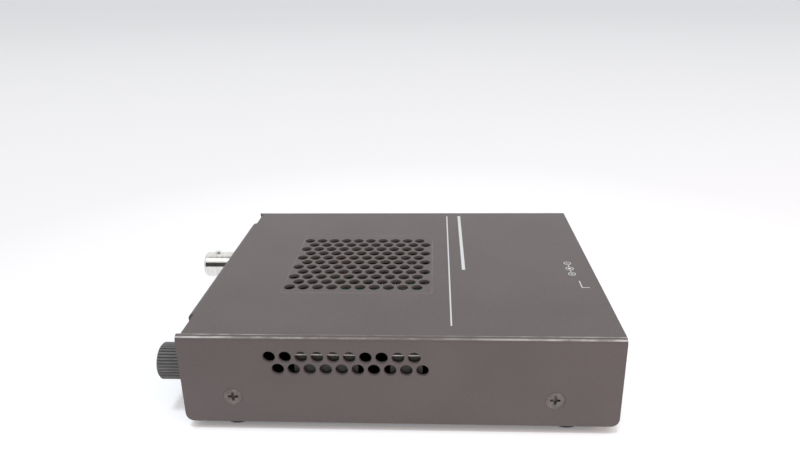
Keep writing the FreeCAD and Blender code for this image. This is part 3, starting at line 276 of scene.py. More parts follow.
def eased(node, width, material, body):
    """A copy of a CAD node with its sharp edges broken, as moulding or deburring leaves them."""
    piece = bpy.data.objects.new(node + "_eased", nodes[node].data.copy())
    bpy.context.scene.collection.objects.link(piece)
    only(piece)
    bpy.ops.object.mode_set(mode="EDIT")
    bpy.ops.mesh.select_all(action="SELECT")
    bpy.ops.mesh.remove_doubles(threshold=0.001 * mm)
    bpy.ops.mesh.dissolve_limited(angle_limit=math.radians(1))
    bpy.ops.object.mode_set(mode="OBJECT")
    softened(piece, width)
    piece.data.materials.clear()
    piece.data.materials.append(material)
    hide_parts(node)
    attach(piece, body)
    return piece


for guide in ("card_guide_left", "card_guide_right"):
    eased(guide, 0.15 * mm, nylon, "chassis")


# ---- circuit boards ----
# Glass-fibre laminate under green solder resist. Wide copper areas show a shade lighter through the
# resist, with the weave faintly raised and small plated holes scattered between the tracks.
def laminate(finish):
    """Green board: copper pours, tracks, holes and weave, one over the other."""
    material, made, links = new_material(finish)
    shader = made["Principled BSDF"]
    place = own_place(made)
    pours = between(made, links, noise(made, links, place, 9 * mm, 1.0), 0, 1, 0.48, 0.52)
    tracks = made.new("ShaderNodeTexBrick")
    tracks.inputs["Scale"].default_value = 1 / (5 * mm)
    tracks.inputs["Mortar Size"].default_value = 0.03
    tracks.inputs["Brick Width"].default_value = 1.9
    tracks.inputs["Row Height"].default_value = 0.25
    links.new(place, tracks.inputs["Vector"])
    resist = blended(made, links, pours, (0.012, 0.092, 0.036), (0.024, 0.165, 0.062))
    resist = blended(made, links, tracks.outputs["Fac"], resist, (0.030, 0.200, 0.075))
    holes = made.new("ShaderNodeTexVoronoi")
    holes.inputs["Scale"].default_value = 1 / (4.5 * mm)
    links.new(place, holes.inputs["Vector"])
    hole = calculated(made, links, "LESS_THAN", holes.outputs["Distance"], 0.075)
    links.new(blended(made, links, hole, resist, (0.62, 0.60, 0.52)), shader.inputs["Base Color"])
    weave = made.new("ShaderNodeTexChecker")
    weave.inputs["Scale"].default_value = 1 / (0.5 * mm)
    links.new(place, weave.inputs["Vector"])
    dust = noise(made, links, place, 0.6 * mm, 3.0)
    links.new(between(made, links, dust, 0.22, 0.42), shader.inputs["Roughness"])
    threads = calculated(made, links, "MULTIPLY", weave.outputs["Fac"], 0.3)
    raised = calculated(made, links, "ADD", threads, tracks.outputs["Fac"])
    bumped(made, links, shader, raised, 0.02 * mm, 0.6)
    shader.inputs["Coat Weight"].default_value = 0.3
    return material


dressed(laminate("board_green"), "module_board", "power_board")


# ---- power board: inlet, header, regulator and diode ----
# Black mouldings, soldered down. A flat-bladed tab and three bent legs hold the regulator, and the
# round diode hangs between its two leads. A pale band marks one end of it.
black = textured("black_plastic", ((0.020, 0.020, 0.021), (0.036, 0.035, 0.035)), 2.5 * mm,
                 0.16 * mm, (0.38, 0.56), 0.012 * mm)
tinned = textured("tinned_metal", ((0.68, 0.68, 0.66), (0.84, 0.84, 0.81)), 1.5 * mm, 0.2 * mm,
                  (0.24, 0.42), 0.008 * mm, metallic=0.5)
for node in ("dc_jack", "power_header", "voltage_regulator"):
    eased(node, 0.12 * mm, black, "chassis")


def banded(finish, base, band, axis, start, end, rough):
    """A moulded body with a printed band across it, from start to end along one axis."""
    material, made, links = new_material(finish)
    shader = made["Principled BSDF"]
    place = own_place(made)
    split = made.new("ShaderNodeSeparateXYZ")
    links.new(place, split.inputs["Vector"])
    along = split.outputs["XYZ".index(axis)]
    inside = product(made, links, calculated(made, links, "GREATER_THAN", along, start),
                     calculated(made, links, "LESS_THAN", along, end))
    patches = between(made, links, noise(made, links, place, 1.2 * mm, 4.0), 0, 1)
    body = blended(made, links, patches, base, shaded(base, 1.3))
    links.new(blended(made, links, inside, body, band), shader.inputs["Base Color"])
    grains = noise(made, links, place, 0.2 * mm, 3.0)
    links.new(between(made, links, grains, *rough), shader.inputs["Roughness"])
    bumped(made, links, shader, grains, 0.01 * mm)
    return material


diode_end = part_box("input_diode")[1].y
dressed(banded("diode_black", (0.022, 0.022, 0.023), (0.62, 0.62, 0.60), "Y", diode_end - 5.2 * mm,
               diode_end - 4.0 * mm, (0.35, 0.5)), "input_diode")
dressed(tinned, "dc_jack_pin", "fuse_clip_front", "fuse_clip_rear")


def settle(piece):
    """Moves a piece's place, turn and scale into its mesh."""
    only(piece)
    bpy.ops.object.transform_apply(location=True, rotation=True, scale=True)
    return piece


def box_piece(name, low, high):
    bpy.ops.object.select_all(action="DESELECT")
    bpy.ops.mesh.primitive_cube_add(size=1, location=(Vector(low) + Vector(high)) / 2)
    piece = bpy.context.object
    piece.name = name
    piece.scale = Vector(high) - Vector(low)
    return settle(piece)


def pick(piece, kind, test):
    """Selects the vertices, edges or faces whose middle passes the test, in edit mode."""
    bpy.ops.mesh.select_mode(type=kind)
    bpy.ops.mesh.select_all(action="DESELECT")
    shape = bmesh.from_edit_mesh(piece.data)
    parts = {"VERT": shape.verts, "EDGE": shape.edges, "FACE": shape.faces}[kind]
    for part in parts:
        points = [part.co] if kind == "VERT" else [vertex.co for vertex in part.verts]
        if test(sum(points, Vector()) / len(points)):
            part.select_set(True)
    shape.select_flush_mode()
    bmesh.update_edit_mesh(piece.data)


def repeated(piece, count, step):
    modified(piece, "ARRAY", count=count, use_relative_offset=False, use_constant_offset=True,
             constant_offset_displace=step)


def joined(name, pieces):
    only(*pieces)
    bpy.ops.object.join()
    pieces[0].name = name
    return pieces[0]


def lead_row(count, pitch, width, rise, reach, foot, leaf=0.2 * mm):
    """A row of bent leads along Y. Each leaves the body at X = 0, drops and runs out on its pad."""
    near = 0.001 * mm
    drop = reach - foot
    pad_half = width * 0.7
    lead = box_piece("lead", (-0.3 * mm, -width / 2, rise), (drop * 0.6, width / 2, rise))
    bpy.ops.object.mode_set(mode="EDIT")
    bpy.ops.mesh.select_all(action="SELECT")
    bpy.ops.mesh.remove_doubles(threshold=near)
    pick(lead, "EDGE", lambda p: p.x > drop * 0.6 - near)
    bpy.ops.mesh.extrude_region_move(
        TRANSFORM_OT_translate={"value": (drop * 0.4, 0, leaf - rise)})
    bpy.ops.mesh.extrude_region_move(TRANSFORM_OT_translate={"value": (foot, 0, 0)})
    bpy.ops.object.mode_set(mode="OBJECT")
    modified(lead, "SOLIDIFY", thickness=leaf, offset=0)
    pad = box_piece("pad", (drop - 0.2 * mm, -pad_half, 0),
                    (reach + 0.35 * mm, pad_half, 0.06 * mm))
    row = joined("lead_row", [lead, pad])
    row.location = (0, -pitch * (count - 1) / 2, 0)
    repeated(settle(row), count, (0, pitch, 0))
    return row


def leads_round(name, node, sides, body, **shape):
    """Rows of leads on the given sides of a boxed part: 0 is +X, 1 is +Y, 2 is -X and 3 is -Y."""
    low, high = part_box(node)
    middle = (low + high) / 2
    half = ((high.x - low.x) / 2, (high.y - low.y) / 2)
    rows = []
    for side in sides:
        row = lead_row(**shape)
        turn = side * math.pi / 2
        out = half[side % 2]
        row.rotation_euler = (0, 0, turn)
        row.location = (middle.x + out * math.cos(turn), middle.y + out * math.sin(turn), low.z)
        rows.append(settle(row))
    leads = joined(name, rows)
    leads.data.materials.append(tinned)
    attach(leads, body)


leads_round("regulator_legs", "voltage_regulator", (3,), "chassis", count=3, pitch=2.54 * mm,
            width=0.9 * mm, rise=2.4 * mm, reach=3.6 * mm, foot=1.6 * mm, leaf=0.45 * mm)


# ---- fuse ----
# A glass tube between two nickel-plated caps, with its thin wire soldered from cap to cap. It is
# pressed into two sprung clips, so it changes without a tool.
glass, made, links = new_material("fuse_glass")
shader = made["Principled BSDF"]
shader.inputs["Base Color"].default_value = (0.94, 0.96, 0.95, 1)
shader.inputs["Transmission Weight"].default_value = 0.85
smears = noise(made, links, own_place(made), 1.5 * mm, 3.0)
links.new(between(made, links, smears, 0.02, 0.10), shader.inputs["Roughness"])
bumped(made, links, shader, smears, 0.004 * mm)
fuse_low, fuse_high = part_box("input_fuse")
fuse_middle = (fuse_low + fuse_high) / 2
fuse_length = fuse_high.y - fuse_low.y
tube_width, tube_wall = 5 * mm, 0.5 * mm
cap_width, cap_length = 5.2 * mm, 5.0 * mm


def rod_piece(name, diameter, length, middle, axis="Z", sides=32):
    bpy.ops.object.select_all(action="DESELECT")
    turn = {"X": (0, math.pi / 2, 0), "Y": (math.pi / 2, 0, 0), "Z": (0, 0, 0)}[axis]
    bpy.ops.mesh.primitive_cylinder_add(vertices=sides, radius=diameter / 2, depth=length,
                                        location=middle, rotation=turn)
    piece = bpy.context.object
    piece.name = name
    return settle(piece)


def near_fuse_end(gap):
    """A test for what lies less than this gap from either end of the fuse."""
    return lambda p: abs(p.y - fuse_middle.y) > fuse_length / 2 - gap


tube = rod_piece("fuse_tube", tube_width, fuse_length - mm, fuse_middle, "Y")
bpy.ops.object.mode_set(mode="EDIT")
pick(tube, "FACE", near_fuse_end(mm))
bpy.ops.mesh.delete(type="FACE")
bpy.ops.object.mode_set(mode="OBJECT")
modified(tube, "SOLIDIFY", thickness=tube_wall, offset=-1)
softened(tube, 0.05 * mm)
tube.data.materials.append(glass)
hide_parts("input_fuse")
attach(tube, "chassis")
caps = []
for end in (-1, 1):
    place = Vector(fuse_middle)
    place.y += end * (fuse_length - cap_length) / 2
    cap = rod_piece("fuse_cap", cap_width, cap_length, place, "Y")
    bpy.ops.object.mode_set(mode="EDIT")
    pick(cap, "FACE", near_fuse_end(0.1 * mm))
    bpy.ops.mesh.inset(thickness=0.9 * mm)
    bpy.ops.transform.translate(value=(0, -end * 0.15 * mm, 0))
    bpy.ops.object.mode_set(mode="OBJECT")
    softened(cap, 0.2 * mm)
    caps.append(cap)
caps.append(rod_piece("fuse_wire", 0.3 * mm, fuse_length - 2 * cap_length, fuse_middle, "Y", 8))
caps = joined("fuse_caps", caps)
caps.data.materials.append(tinned)
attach(caps, "chassis")


# ---- input choke ----
# Enamelled copper wire, wound by hand round a ring core. The turns lie close inside and fan out
# outside, and the wire's two ends are soldered to the board.
wire = textured("choke_winding", ((0.46, 0.15, 0.04), (0.68, 0.30, 0.10)), 1.2 * mm, 0.3 * mm,
                (0.16, 0.32), 0.02 * mm, metallic=1.0, coat=0.5)
choke_low, choke_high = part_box("input_choke")
choke_middle = (choke_low + choke_high) / 2
ring_radius, core_radius = 5 * mm, 1.3 * mm
wire_width = 0.9 * mm
turns, missing_turns = 24, 3
turn_half = 2 * mm - wire_width / 2
section = (choke_high.z - choke_low.z) / 2
bpy.ops.object.select_all(action="DESELECT")
bpy.ops.mesh.primitive_torus_add(major_segments=40, minor_segments=10, major_radius=ring_radius,
                                 minor_radius=core_radius, location=choke_middle)
core = bpy.context.object
core.scale = (1, 1, (section - wire_width) / core_radius)
settle(core)
core.name = "choke_core"
softened(core, 0.02 * mm, 1, 80)
core.data.materials.append(black)
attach(core, "chassis")
loops = []
for turn in range(turns):
    angle = 2 * math.pi * turn / (turns + missing_turns)
    bpy.ops.object.select_all(action="DESELECT")
    bpy.ops.mesh.primitive_torus_add(major_segments=16, minor_segments=6, major_radius=turn_half,
                                     minor_radius=wire_width / 2)
    loop = bpy.context.object
    loop.scale = (1, (section - wire_width / 2) / turn_half, 1)
    settle(loop)
    loop.rotation_euler = (math.pi / 2, 0, angle)
    loop.location = choke_middle + Vector((math.cos(angle), math.sin(angle), 0)) * ring_radius
    loops.append(settle(loop))
winding = joined("choke_winding", loops)
bpy.ops.object.shade_smooth()
winding.data.materials.append(wire)
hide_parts("input_choke")
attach(winding, "chassis")


# ---- reservoir capacitor ----
# A drawn can in a shrunk dark sleeve, rolled in near its foot and soldered down. The sleeve leaves
# the aluminium end bare, and that is scored with a cross where it can vent.
end_sunk = 0.25 * mm
score_half = 0.15 * mm
waist_width = 0.92
can = textured("can_aluminium", ((0.70, 0.71, 0.72), (0.84, 0.84, 0.84)), 3 * mm, 0.12 * mm,
               (0.22, 0.40), 0.006 * mm, metallic=1.0)
sleeve = textured("can_sleeve", ((0.018, 0.022, 0.050), (0.032, 0.036, 0.074)), 3 * mm, 0.3 * mm,
                  (0.22, 0.36), 0.008 * mm, coat=0.3)


def cut_away(piece, cutter):
    """Cuts the cutter's shape out of the piece."""
    modified(piece, "BOOLEAN", operation="DIFFERENCE", solver="EXACT", object=cutter)
    bpy.data.objects.remove(cutter)


def can_piece(name, node, waist, end_edge, score):
    """A drawn can with a waist above its foot and a scored, slightly sunk end."""
    low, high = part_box(node)
    middle = (low + high) / 2
    piece = rod_piece(name, high.x - low.x, high.z - low.z, middle, sides=36)
    near = 0.01 * mm
    bpy.ops.object.mode_set(mode="EDIT")
    for level in (waist - 0.5 * mm, waist, waist + 0.5 * mm):
        bpy.ops.mesh.select_all(action="SELECT")
        bpy.ops.mesh.bisect(plane_co=(0, 0, low.z + level), plane_no=(0, 0, 1))
    pick(piece, "VERT", lambda p: abs(p.z - low.z - waist) < near)
    bpy.ops.transform.resize(value=(waist_width, waist_width, 1),
                             center_override=(middle.x, middle.y, low.z + waist))
    pick(piece, "FACE", lambda p: p.z > high.z - near)
    bpy.ops.mesh.inset(thickness=end_edge)
    bpy.ops.transform.translate(value=(0, 0, -end_sunk))
    bpy.ops.object.mode_set(mode="OBJECT")
    long = (high.x - low.x) / 2 - 1.6 * end_edge
    bottom = high.z - end_sunk - score
    for half_x, half_y in ((long, score_half), (score_half, long)):
        cut_away(piece, box_piece("score", (middle.x - half_x, middle.y - half_y, bottom),
                                  (middle.x + half_x, middle.y + half_y, high.z + mm)))
    softened(piece, 0.1 * mm)
    return piece, middle, high


reservoir, middle, high = can_piece("reservoir_can", "reservoir_capacitor", waist=2.2 * mm,
                                    end_edge=0.9 * mm, score=0.2 * mm)
reservoir.data.materials.append(sleeve)
reservoir.data.materials.append(can)
bare_end = high.x - middle.x - 0.85 * mm
for face in reservoir.data.polygons:
    if face.center.z > high.z - 0.6 * mm and (face.center - middle).xy.length < bare_end:
        face.material_index = 1
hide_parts("reservoir_capacitor")
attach(reservoir, "chassis")


# ---- module board: chips, transformer and supply ----
# Black epoxy and potted blocks on the module's board, each on two or four rows of tinned leads. A
# moulded dimple marks the first lead of each chip.
def chip(node, dimple, edge=0.12 * mm):
    """A moulded block, with a dimple of this width by its first lead."""
    piece = eased(node, edge, black, "module")
    low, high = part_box(node)
    if dimple:
        spot = Vector((low.x + 1.3 * dimple, high.y - 1.3 * dimple, high.z))
        cut_away(piece, rod_piece("dimple", dimple, 0.16 * mm, spot, sides=20))
        bpy.ops.object.shade_smooth_by_angle(angle=math.radians(35))


chip("line_driver_chip", 0.8 * mm, 0.08 * mm)
chip("encoder_chip", 1.6 * mm)
chip("isolation_transformer", 0)
chip("isolated_supply", 0, 0.3 * mm)
chip("module_socket", 0)
leads_round("line_driver_leads", "line_driver_chip", (0, 2), "module", count=8, pitch=1.27 * mm,
            width=0.42 * mm, rise=0.9 * mm, reach=1.05 * mm, foot=0.5 * mm)
leads_round("encoder_leads", "encoder_chip", (0, 1, 2, 3), "module", count=11, pitch=1.27 * mm,
            width=0.5 * mm, rise=2.1 * mm, reach=0.5 * mm, foot=0.05 * mm)
leads_round("transformer_leads", "isolation_transformer", (0, 2), "module", count=7,
            pitch=2.54 * mm, width=0.6 * mm, rise=1.6 * mm, reach=1.6 * mm, foot=0.8 * mm)


# ---- module board: oscillator and capacitors ----
# Drawn cans stand on the board: the square clock oscillator, and three round ones on black feet
# with their ends inked on one side. Beside them are a dipped orange bead on wires and a moulded
# amber block. All are soldered down.
foot_half, foot_height, foot_corner = 3.3 * mm, 1.1 * mm, 1.3 * mm
ink_width, ink_depth, ink_edge = 5.0 * mm, 0.06 * mm, 1.0 * mm
eased("clock_oscillator", 0.35 * mm, can, "module")
for number in (1, 2, 3):
    node = f"filter_capacitor_{number}"
    piece, middle, high = can_piece(f"filter_can_{number}", node, waist=1.9 * mm,
                                    end_edge=0.5 * mm, score=0.12 * mm)
    piece.data.materials.append(can)
    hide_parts(node)
    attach(piece, "module")
    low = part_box(node)[0]
    foot = box_piece(f"filter_foot_{number}",
                     (middle.x - foot_half, middle.y - foot_half, low.z),
                     (middle.x + foot_half, middle.y + foot_half, low.z + foot_height))
    outer = foot_half - 0.1 * mm
    bpy.ops.object.mode_set(mode="EDIT")
    pick(foot, "EDGE", lambda p: p.y > middle.y + outer and abs(p.x - middle.x) > outer)
    bpy.ops.mesh.bevel(offset=foot_corner, segments=1, affect="EDGES")
    bpy.ops.object.mode_set(mode="OBJECT")
    softened(foot, 0.1 * mm)
    foot.data.materials.append(black)
    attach(foot, "module")
    mark = rod_piece(f"filter_mark_{number}", ink_width, ink_depth,
                     (middle.x, middle.y, high.z - 0.24 * mm))
    bpy.ops.object.mode_set(mode="EDIT")
    bpy.ops.mesh.select_all(action="SELECT")
    bpy.ops.mesh.bisect(plane_co=(0, middle.y + ink_edge, 0), plane_no=(0, 1, 0), use_fill=True,
                        clear_inner=True)
    bpy.ops.object.mode_set(mode="OBJECT")
    mark.data.materials.append(black)
    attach(mark, "module")

dip = textured("orange_dip", ((0.80, 0.16, 0.035), (0.95, 0.25, 0.06)), 1.5 * mm, 0.4 * mm,
               (0.14, 0.30), 0.03 * mm, coat=0.4)
dressed(dip, "surge_capacitor")
block_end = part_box("tantalum_capacitor")[1].y
dressed(banded("amber_case", (0.70, 0.33, 0.035), (0.90, 0.88, 0.80), "Y", block_end - 1.0 * mm,
               block_end - 0.3 * mm, (0.25, 0.4)), "tantalum_capacitor")


# ---- coaxial jack ----
# Turned brass with bright nickel plating. Its threaded bush goes through the plate, and a toothed
# washer and a thin nut hold it. Inside are a white insulator and a gilt socket for the plug's pin.
nickel = textured("nickel_shell", ((0.68, 0.665, 0.635), (0.80, 0.785, 0.755)), 5 * mm, 0.3 * mm,
                  (0.07, 0.20), 0.003 * mm, metallic=1.0, stretch=(1, 3, 1))
eased("coax_jack", 0.12 * mm, nickel, "module")
eased("coax_washer", 0.06 * mm, nickel, "module")
eased("coax_nut", 0.12 * mm, nickel, "module")
insulator = textured("white_insulator", ((0.78, 0.78, 0.75), (0.88, 0.88, 0.85)), 1.5 * mm,
                     0.2 * mm, (0.4, 0.55), 0.008 * mm)
dressed(insulator, "coax_insulator")
gilt = textured("gold_contact", ((0.80, 0.54, 0.20), (0.90, 0.66, 0.30)), 1 * mm, 0.15 * mm,
                (0.16, 0.3), 0.003 * mm, metallic=1.0)
dressed(gilt, "coax_contact")
eased("coax_housing", 0.12 * mm, black, "module")


# ---- fibre sockets ----
# One black moulding with two keyed square mouths, soldered to the module's board. On each socket's
# axis is a fired ceramic sleeve, which lines up the plug's glass fibre.
fibre_black = textured("fibre_plastic", ((0.022, 0.022, 0.024), (0.038, 0.038, 0.040)), 4 * mm,
                       0.2 * mm, (0.32, 0.48), 0.010 * mm)
eased("fibre_housing", 0.2 * mm, fibre_black, "module")
ceramic = textured("ceramic_sleeve", ((0.80, 0.79, 0.75), (0.88, 0.87, 0.83)), 1 * mm, 0.2 * mm,
                   (0.12, 0.2), 0.003 * mm)
for sleeve_name in ("fibre_sleeve_transmit", "fibre_sleeve_receive"):
    eased(sleeve_name, 0.1 * mm, ceramic, "module")


# ---- status lights and switch ----
# Milky green epoxy domes, unlit, in a black holder, and a small pale lever in a black slide switch.
# Both mouldings are soldered to the board behind the plate's openings.
lens, made, links = new_material("led_lens")
shader = made["Principled BSDF"]
milk = between(made, links, noise(made, links, own_place(made), 1.2 * mm, 3.0), 0, 1)
links.new(blended(made, links, milk, (0.30, 0.52, 0.28), (0.44, 0.64, 0.38)),
          shader.inputs["Base Color"])
haze = calculated(made, links, "ADD", product(made, links, milk, 0.1), 0.5)
links.new(haze, shader.inputs["Roughness"])
shader.inputs["Transmission Weight"].default_value = 0.25
shader.inputs["Subsurface Weight"].default_value = 0.4
shader.inputs["Subsurface Scale"].default_value = 1.0 * mm
dressed(lens, "status_led_1", "status_led_2", "status_led_3", "status_led_4")
eased("led_holder", 0.12 * mm, black, "module")
eased("switch_body", 0.12 * mm, black, "module")
pale = textured("lever_plastic", ((0.72, 0.71, 0.66), (0.82, 0.81, 0.76)), 1.5 * mm, 0.2 * mm,
                (0.4, 0.55), 0.01 * mm)
eased("switch_lever", 0.15 * mm, pale, "switch_lever")


# ---- thumbscrew ----
# Turned steel with a straight knurl, black-nickel plated. The crests of the knurl are paler in
# patches, and the plain neck behind the head keeps the screw captive.
def knurled(finish, axis_x, axis_z, crest):
    """Dark plating that goes pale where a point lies further from the screw's axis than crest."""
    material, made, links = new_material(finish)
    shader = made["Principled BSDF"]
    place = own_place(made)
    split = made.new("ShaderNodeSeparateXYZ")
    links.new(place, split.inputs["Vector"])
    across = calculated(made, links, "SUBTRACT", split.outputs["X"], axis_x)
    up = calculated(made, links, "SUBTRACT", split.outputs["Z"], axis_z)
    squares = [calculated(made, links, "MULTIPLY", value, value) for value in (across, up)]
    radius = calculated(made, links, "SQRT", calculated(made, links, "ADD", *squares))
    patches = noise(made, links, place, 2.5 * mm, 4.0)
    grains = noise(made, links, place, 0.2 * mm, 3.0)
    crests = between(made, links, radius, 0, 0.75, crest - 0.08 * mm, crest)
    crests = product(made, links, crests, between(made, links, patches, 0.3, 1))
    plating = blended(made, links, between(made, links, grains, 0, 1), (0.100, 0.096, 0.094),
                      (0.130, 0.126, 0.124))
    links.new(blended(made, links, crests, plating, (0.24, 0.235, 0.23)),
              shader.inputs["Base Color"])
    links.new(between(made, links, grains, 0.40, 0.55), shader.inputs["Roughness"])
    bumped(made, links, shader, grains, 0.005 * mm)
    shader.inputs["Metallic"].default_value = 0.15
    return material


thumb_low, thumb_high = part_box("thumbscrew")
thumb_middle = (thumb_low + thumb_high) / 2
thumb = knurled("thumb_metal", thumb_middle.x, thumb_middle.z, (thumb_high.x - thumb_low.x) / 2)
eased("thumbscrew", 0.05 * mm, thumb, "thumbscrew")


# ---- module's front plate ----
# Steel sheet, folded at its foot to carry the board, in the same powder coat as the case. Its
# openings are punched, and the thumbscrew passes through it.
eased("faceplate", 0.15 * mm, powder_coat("plate_paint"), "module")


# ---- folded top cover ----
# One piece of 1.2 mm steel, punched, folded into a U with a short front lip, and powder coated.
# Two bright bands run along each long fold: partly coat rubbed by handling, partly a painted
# highlight of the fold. The top is printed in a pale ink with two rules, a corner and the plain
# sign that tells which side of the power plug is positive.
fold_bands = ((0.50 * mm, 0.26 * mm, 1.0), (0.04 * mm, 0.04 * mm, 0.7))
punch_middle, punch_half = (-0.45 * mm, -14.4 * mm), (24.05 * mm, 23.6 * mm)
long_rules = [((-20 * mm, 19.6 * mm), (26 * mm, 0.55 * mm)),
              ((-1 * mm, 14.8 * mm), (45 * mm, 0.22 * mm))]
corner_mark = [((16.7 * mm, 55.9 * mm), (2.4 * mm, 0.17 * mm)),
               ((19.1 * mm, 57.0 * mm), (0.17 * mm, 1.2 * mm))]
sign = 54.6 * mm
sign_bars = [((2.7 * mm, sign), (0.85 * mm, 0.13 * mm)), ((6.8 * mm, sign), (0.6 * mm, 0.13 * mm)),
             ((0.5 * mm, sign), (0.12 * mm, 0.5 * mm)), ((9.0 * mm, sign), (0.5 * mm, 0.12 * mm)),
             ((9.0 * mm, sign), (0.12 * mm, 0.5 * mm))]
sign_rings = [(0.5 * mm, 1.1 * mm, 0.13 * mm), (4.75 * mm, 1.2 * mm, 0.13 * mm),
              (9.0 * mm, 1.1 * mm, 0.13 * mm), (4.75 * mm, 0, 0.5 * mm)]


def extreme(made, links, operation, values):
    """Runs MAXIMUM or MINIMUM over two or more values."""
    found = values[0]
    for value in values[1:]:
        found = calculated(made, links, operation, found, value)
    return found


def distance(made, links, value, middle):
    """How far a value lies from the middle, either way."""
    return calculated(made, links, "ABSOLUTE", calculated(made, links, "SUBTRACT", value, middle))


def crosswise(made, links, x, y, centre, half):
    """How far a point lies outside a rectangle, less than nothing inside it."""
    reach = []
    for value, middle, size in ((x, centre[0], half[0]), (y, centre[1], half[1])):
        off = distance(made, links, value, middle)
        reach.append(calculated(made, links, "SUBTRACT", off, size))
    return calculated(made, links, "MAXIMUM", *reach)


def from_spot(made, links, x, y, centre):
    """How far a point lies from a spot."""
    squares = []
    for value, middle in ((x, centre[0]), (y, centre[1])):
        off = calculated(made, links, "SUBTRACT", value, middle)
        squares.append(calculated(made, links, "MULTIPLY", off, off))
    return calculated(made, links, "SQRT", calculated(made, links, "ADD", *squares))


def on_top(made, links, z, value):
    """The value on the cover's flat top, and nothing below it."""
    flat = calculated(made, links, "GREATER_THAN", z, cad_high.z - 0.03 * mm)
    return product(made, links, value, flat)


def fold_wear_and_highlight(made, links, x, y, z):
    """Two bright lines along each long fold, partly worn coat and partly painted highlight, and the
    mark that the punch left round the vents.
    """
    across = calculated(made, links, "ABSOLUTE", x)
    side = calculated(made, links, "GREATER_THAN", across, cad_high.x - 1.65 * mm)
    drop = calculated(made, links, "SUBTRACT", cad_high.z, z)
    place = own_place(made)
    streaks = noise(made, links, place, 1.6 * mm, 3.0, (1, 0.3, 1))
    streaks = between(made, links, streaks, 0.3, 1, 0.38, 0.6)
    # The painted highlight is brighter towards both ends of each fold.
    fade = between(made, links, calculated(made, links, "ABSOLUTE", y), 0.35, 1, 10 * mm, 55 * mm)
    bands = []
    for centre, reach, strength in fold_bands:
        off = distance(made, links, drop, centre)
        band = between(made, links, off, strength, 0, reach * 0.45, reach)
        bands.append(product(made, links, band, streaks))
    bare_and_sheen_mask = product(made, links, extreme(made, links, "MAXIMUM", bands), side, fade)
    gap = crosswise(made, links, x, y, punch_middle, punch_half)
    gap = calculated(made, links, "ABSOLUTE", gap)
    line = between(made, links, gap, 0.16, 0, 0.1 * mm, 0.26 * mm)
    patches = between(made, links, noise(made, links, place, 7 * mm), 0.3, 1)
    mark = on_top(made, links, z, product(made, links, line, patches))
    return calculated(made, links, "MAXIMUM", bare_and_sheen_mask, mark)


def printed(made, links, x, y, z):
    """The ink: bars and rings, each soft at its outline by a fraction of a millimetre."""
    bars = long_rules + corner_mark + sign_bars
    shapes = [crosswise(made, links, x, y, *bar) for bar in bars]
    for ring_x, radius, width in sign_rings:
        away = distance(made, links, from_spot(made, links, x, y, (ring_x, sign)), radius)
        shapes.append(calculated(made, links, "SUBTRACT", away, width))
    outline = extreme(made, links, "MINIMUM", shapes)
    return on_top(made, links, z, between(made, links, outline, 0.95, 0, -0.04 * mm, 0.04 * mm))


cover_low, cover_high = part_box("top_cover")
sheet = 1.2 * mm
fold, fold_steps = 1.6 * mm, 6
lip_half, lip_drop, lip_proud = 38 * mm, 4 * mm, 0.5 * mm
relief = 1.8 * mm
corner, corner_steps = 2.5 * mm, 7
pitch, hole = 4.5 * mm, 3.5 * mm
holes_in_row = 10
row_step = pitch * math.sqrt(3) / 2
flange_front = cover_low.y + lip_proud
first_hole = flange_front + 26 * mm
side_hole_drop = 6.4 * mm
sink = 5.9 * mm
screw_height = cover_low.z + 8.3 * mm
screw_places = (flange_front + 14.5 * mm, cover_high.y - 18.3 * mm)

cover = box_piece("top_cover_painted", (cover_low.x, flange_front, cover_low.z), cover_high)
near = 0.01 * mm
flat = cover_high.x - fold


def is_open_side(p):
    return p.z < cover_low.z + near or not flange_front + near < p.y < cover_high.y - near


def on_front_edge(p):
    return p.z > cover_high.z - near and p.y < flange_front + near and abs(p.x) < near


bpy.ops.object.mode_set(mode="EDIT")
pick(cover, "FACE", is_open_side)
bpy.ops.mesh.delete(type="FACE")
pick(cover, "EDGE", lambda p: p.z > cover_high.z - near and abs(p.x) > cover_high.x - near)
bpy.ops.mesh.bevel(offset=fold, segments=fold_steps, affect="EDGES")
for plane_x in (-lip_half, lip_half):
    pick(cover, "FACE", lambda p: p.z > cover_high.z - near)
    bpy.ops.mesh.bisect(plane_co=(plane_x, 0, 0), plane_no=(1, 0, 0))
pick(cover, "FACE", lambda p: p.z > cover_high.z - near)
bpy.ops.mesh.bisect(plane_co=(0, cover_low.y + relief, 0), plane_no=(0, 1, 0))
pick(cover, "FACE", lambda p: p.y < cover_low.y + relief and lip_half < abs(p.x) < flat)
bpy.ops.mesh.delete(type="FACE")
pick(cover, "EDGE", on_front_edge)
bpy.ops.transform.translate(value=(0, -lip_proud, 0))
bpy.ops.mesh.extrude_region_move(TRANSFORM_OT_translate={"value": (0, 0, -lip_drop)})
pick(cover, "EDGE", lambda p: p.z > cover_high.z - near and p.y < cover_low.y + near)
bpy.ops.mesh.bevel(offset=fold, segments=fold_steps, affect="EDGES")
pick(cover, "VERT", lambda p: p.z < cover_low.z + near)
bpy.ops.mesh.bevel(offset=corner, segments=corner_steps, affect="VERTICES")
bpy.ops.object.mode_set(mode="OBJECT")
modified(cover, "SOLIDIFY", thickness=sheet, offset=-1, use_even_offset=True)

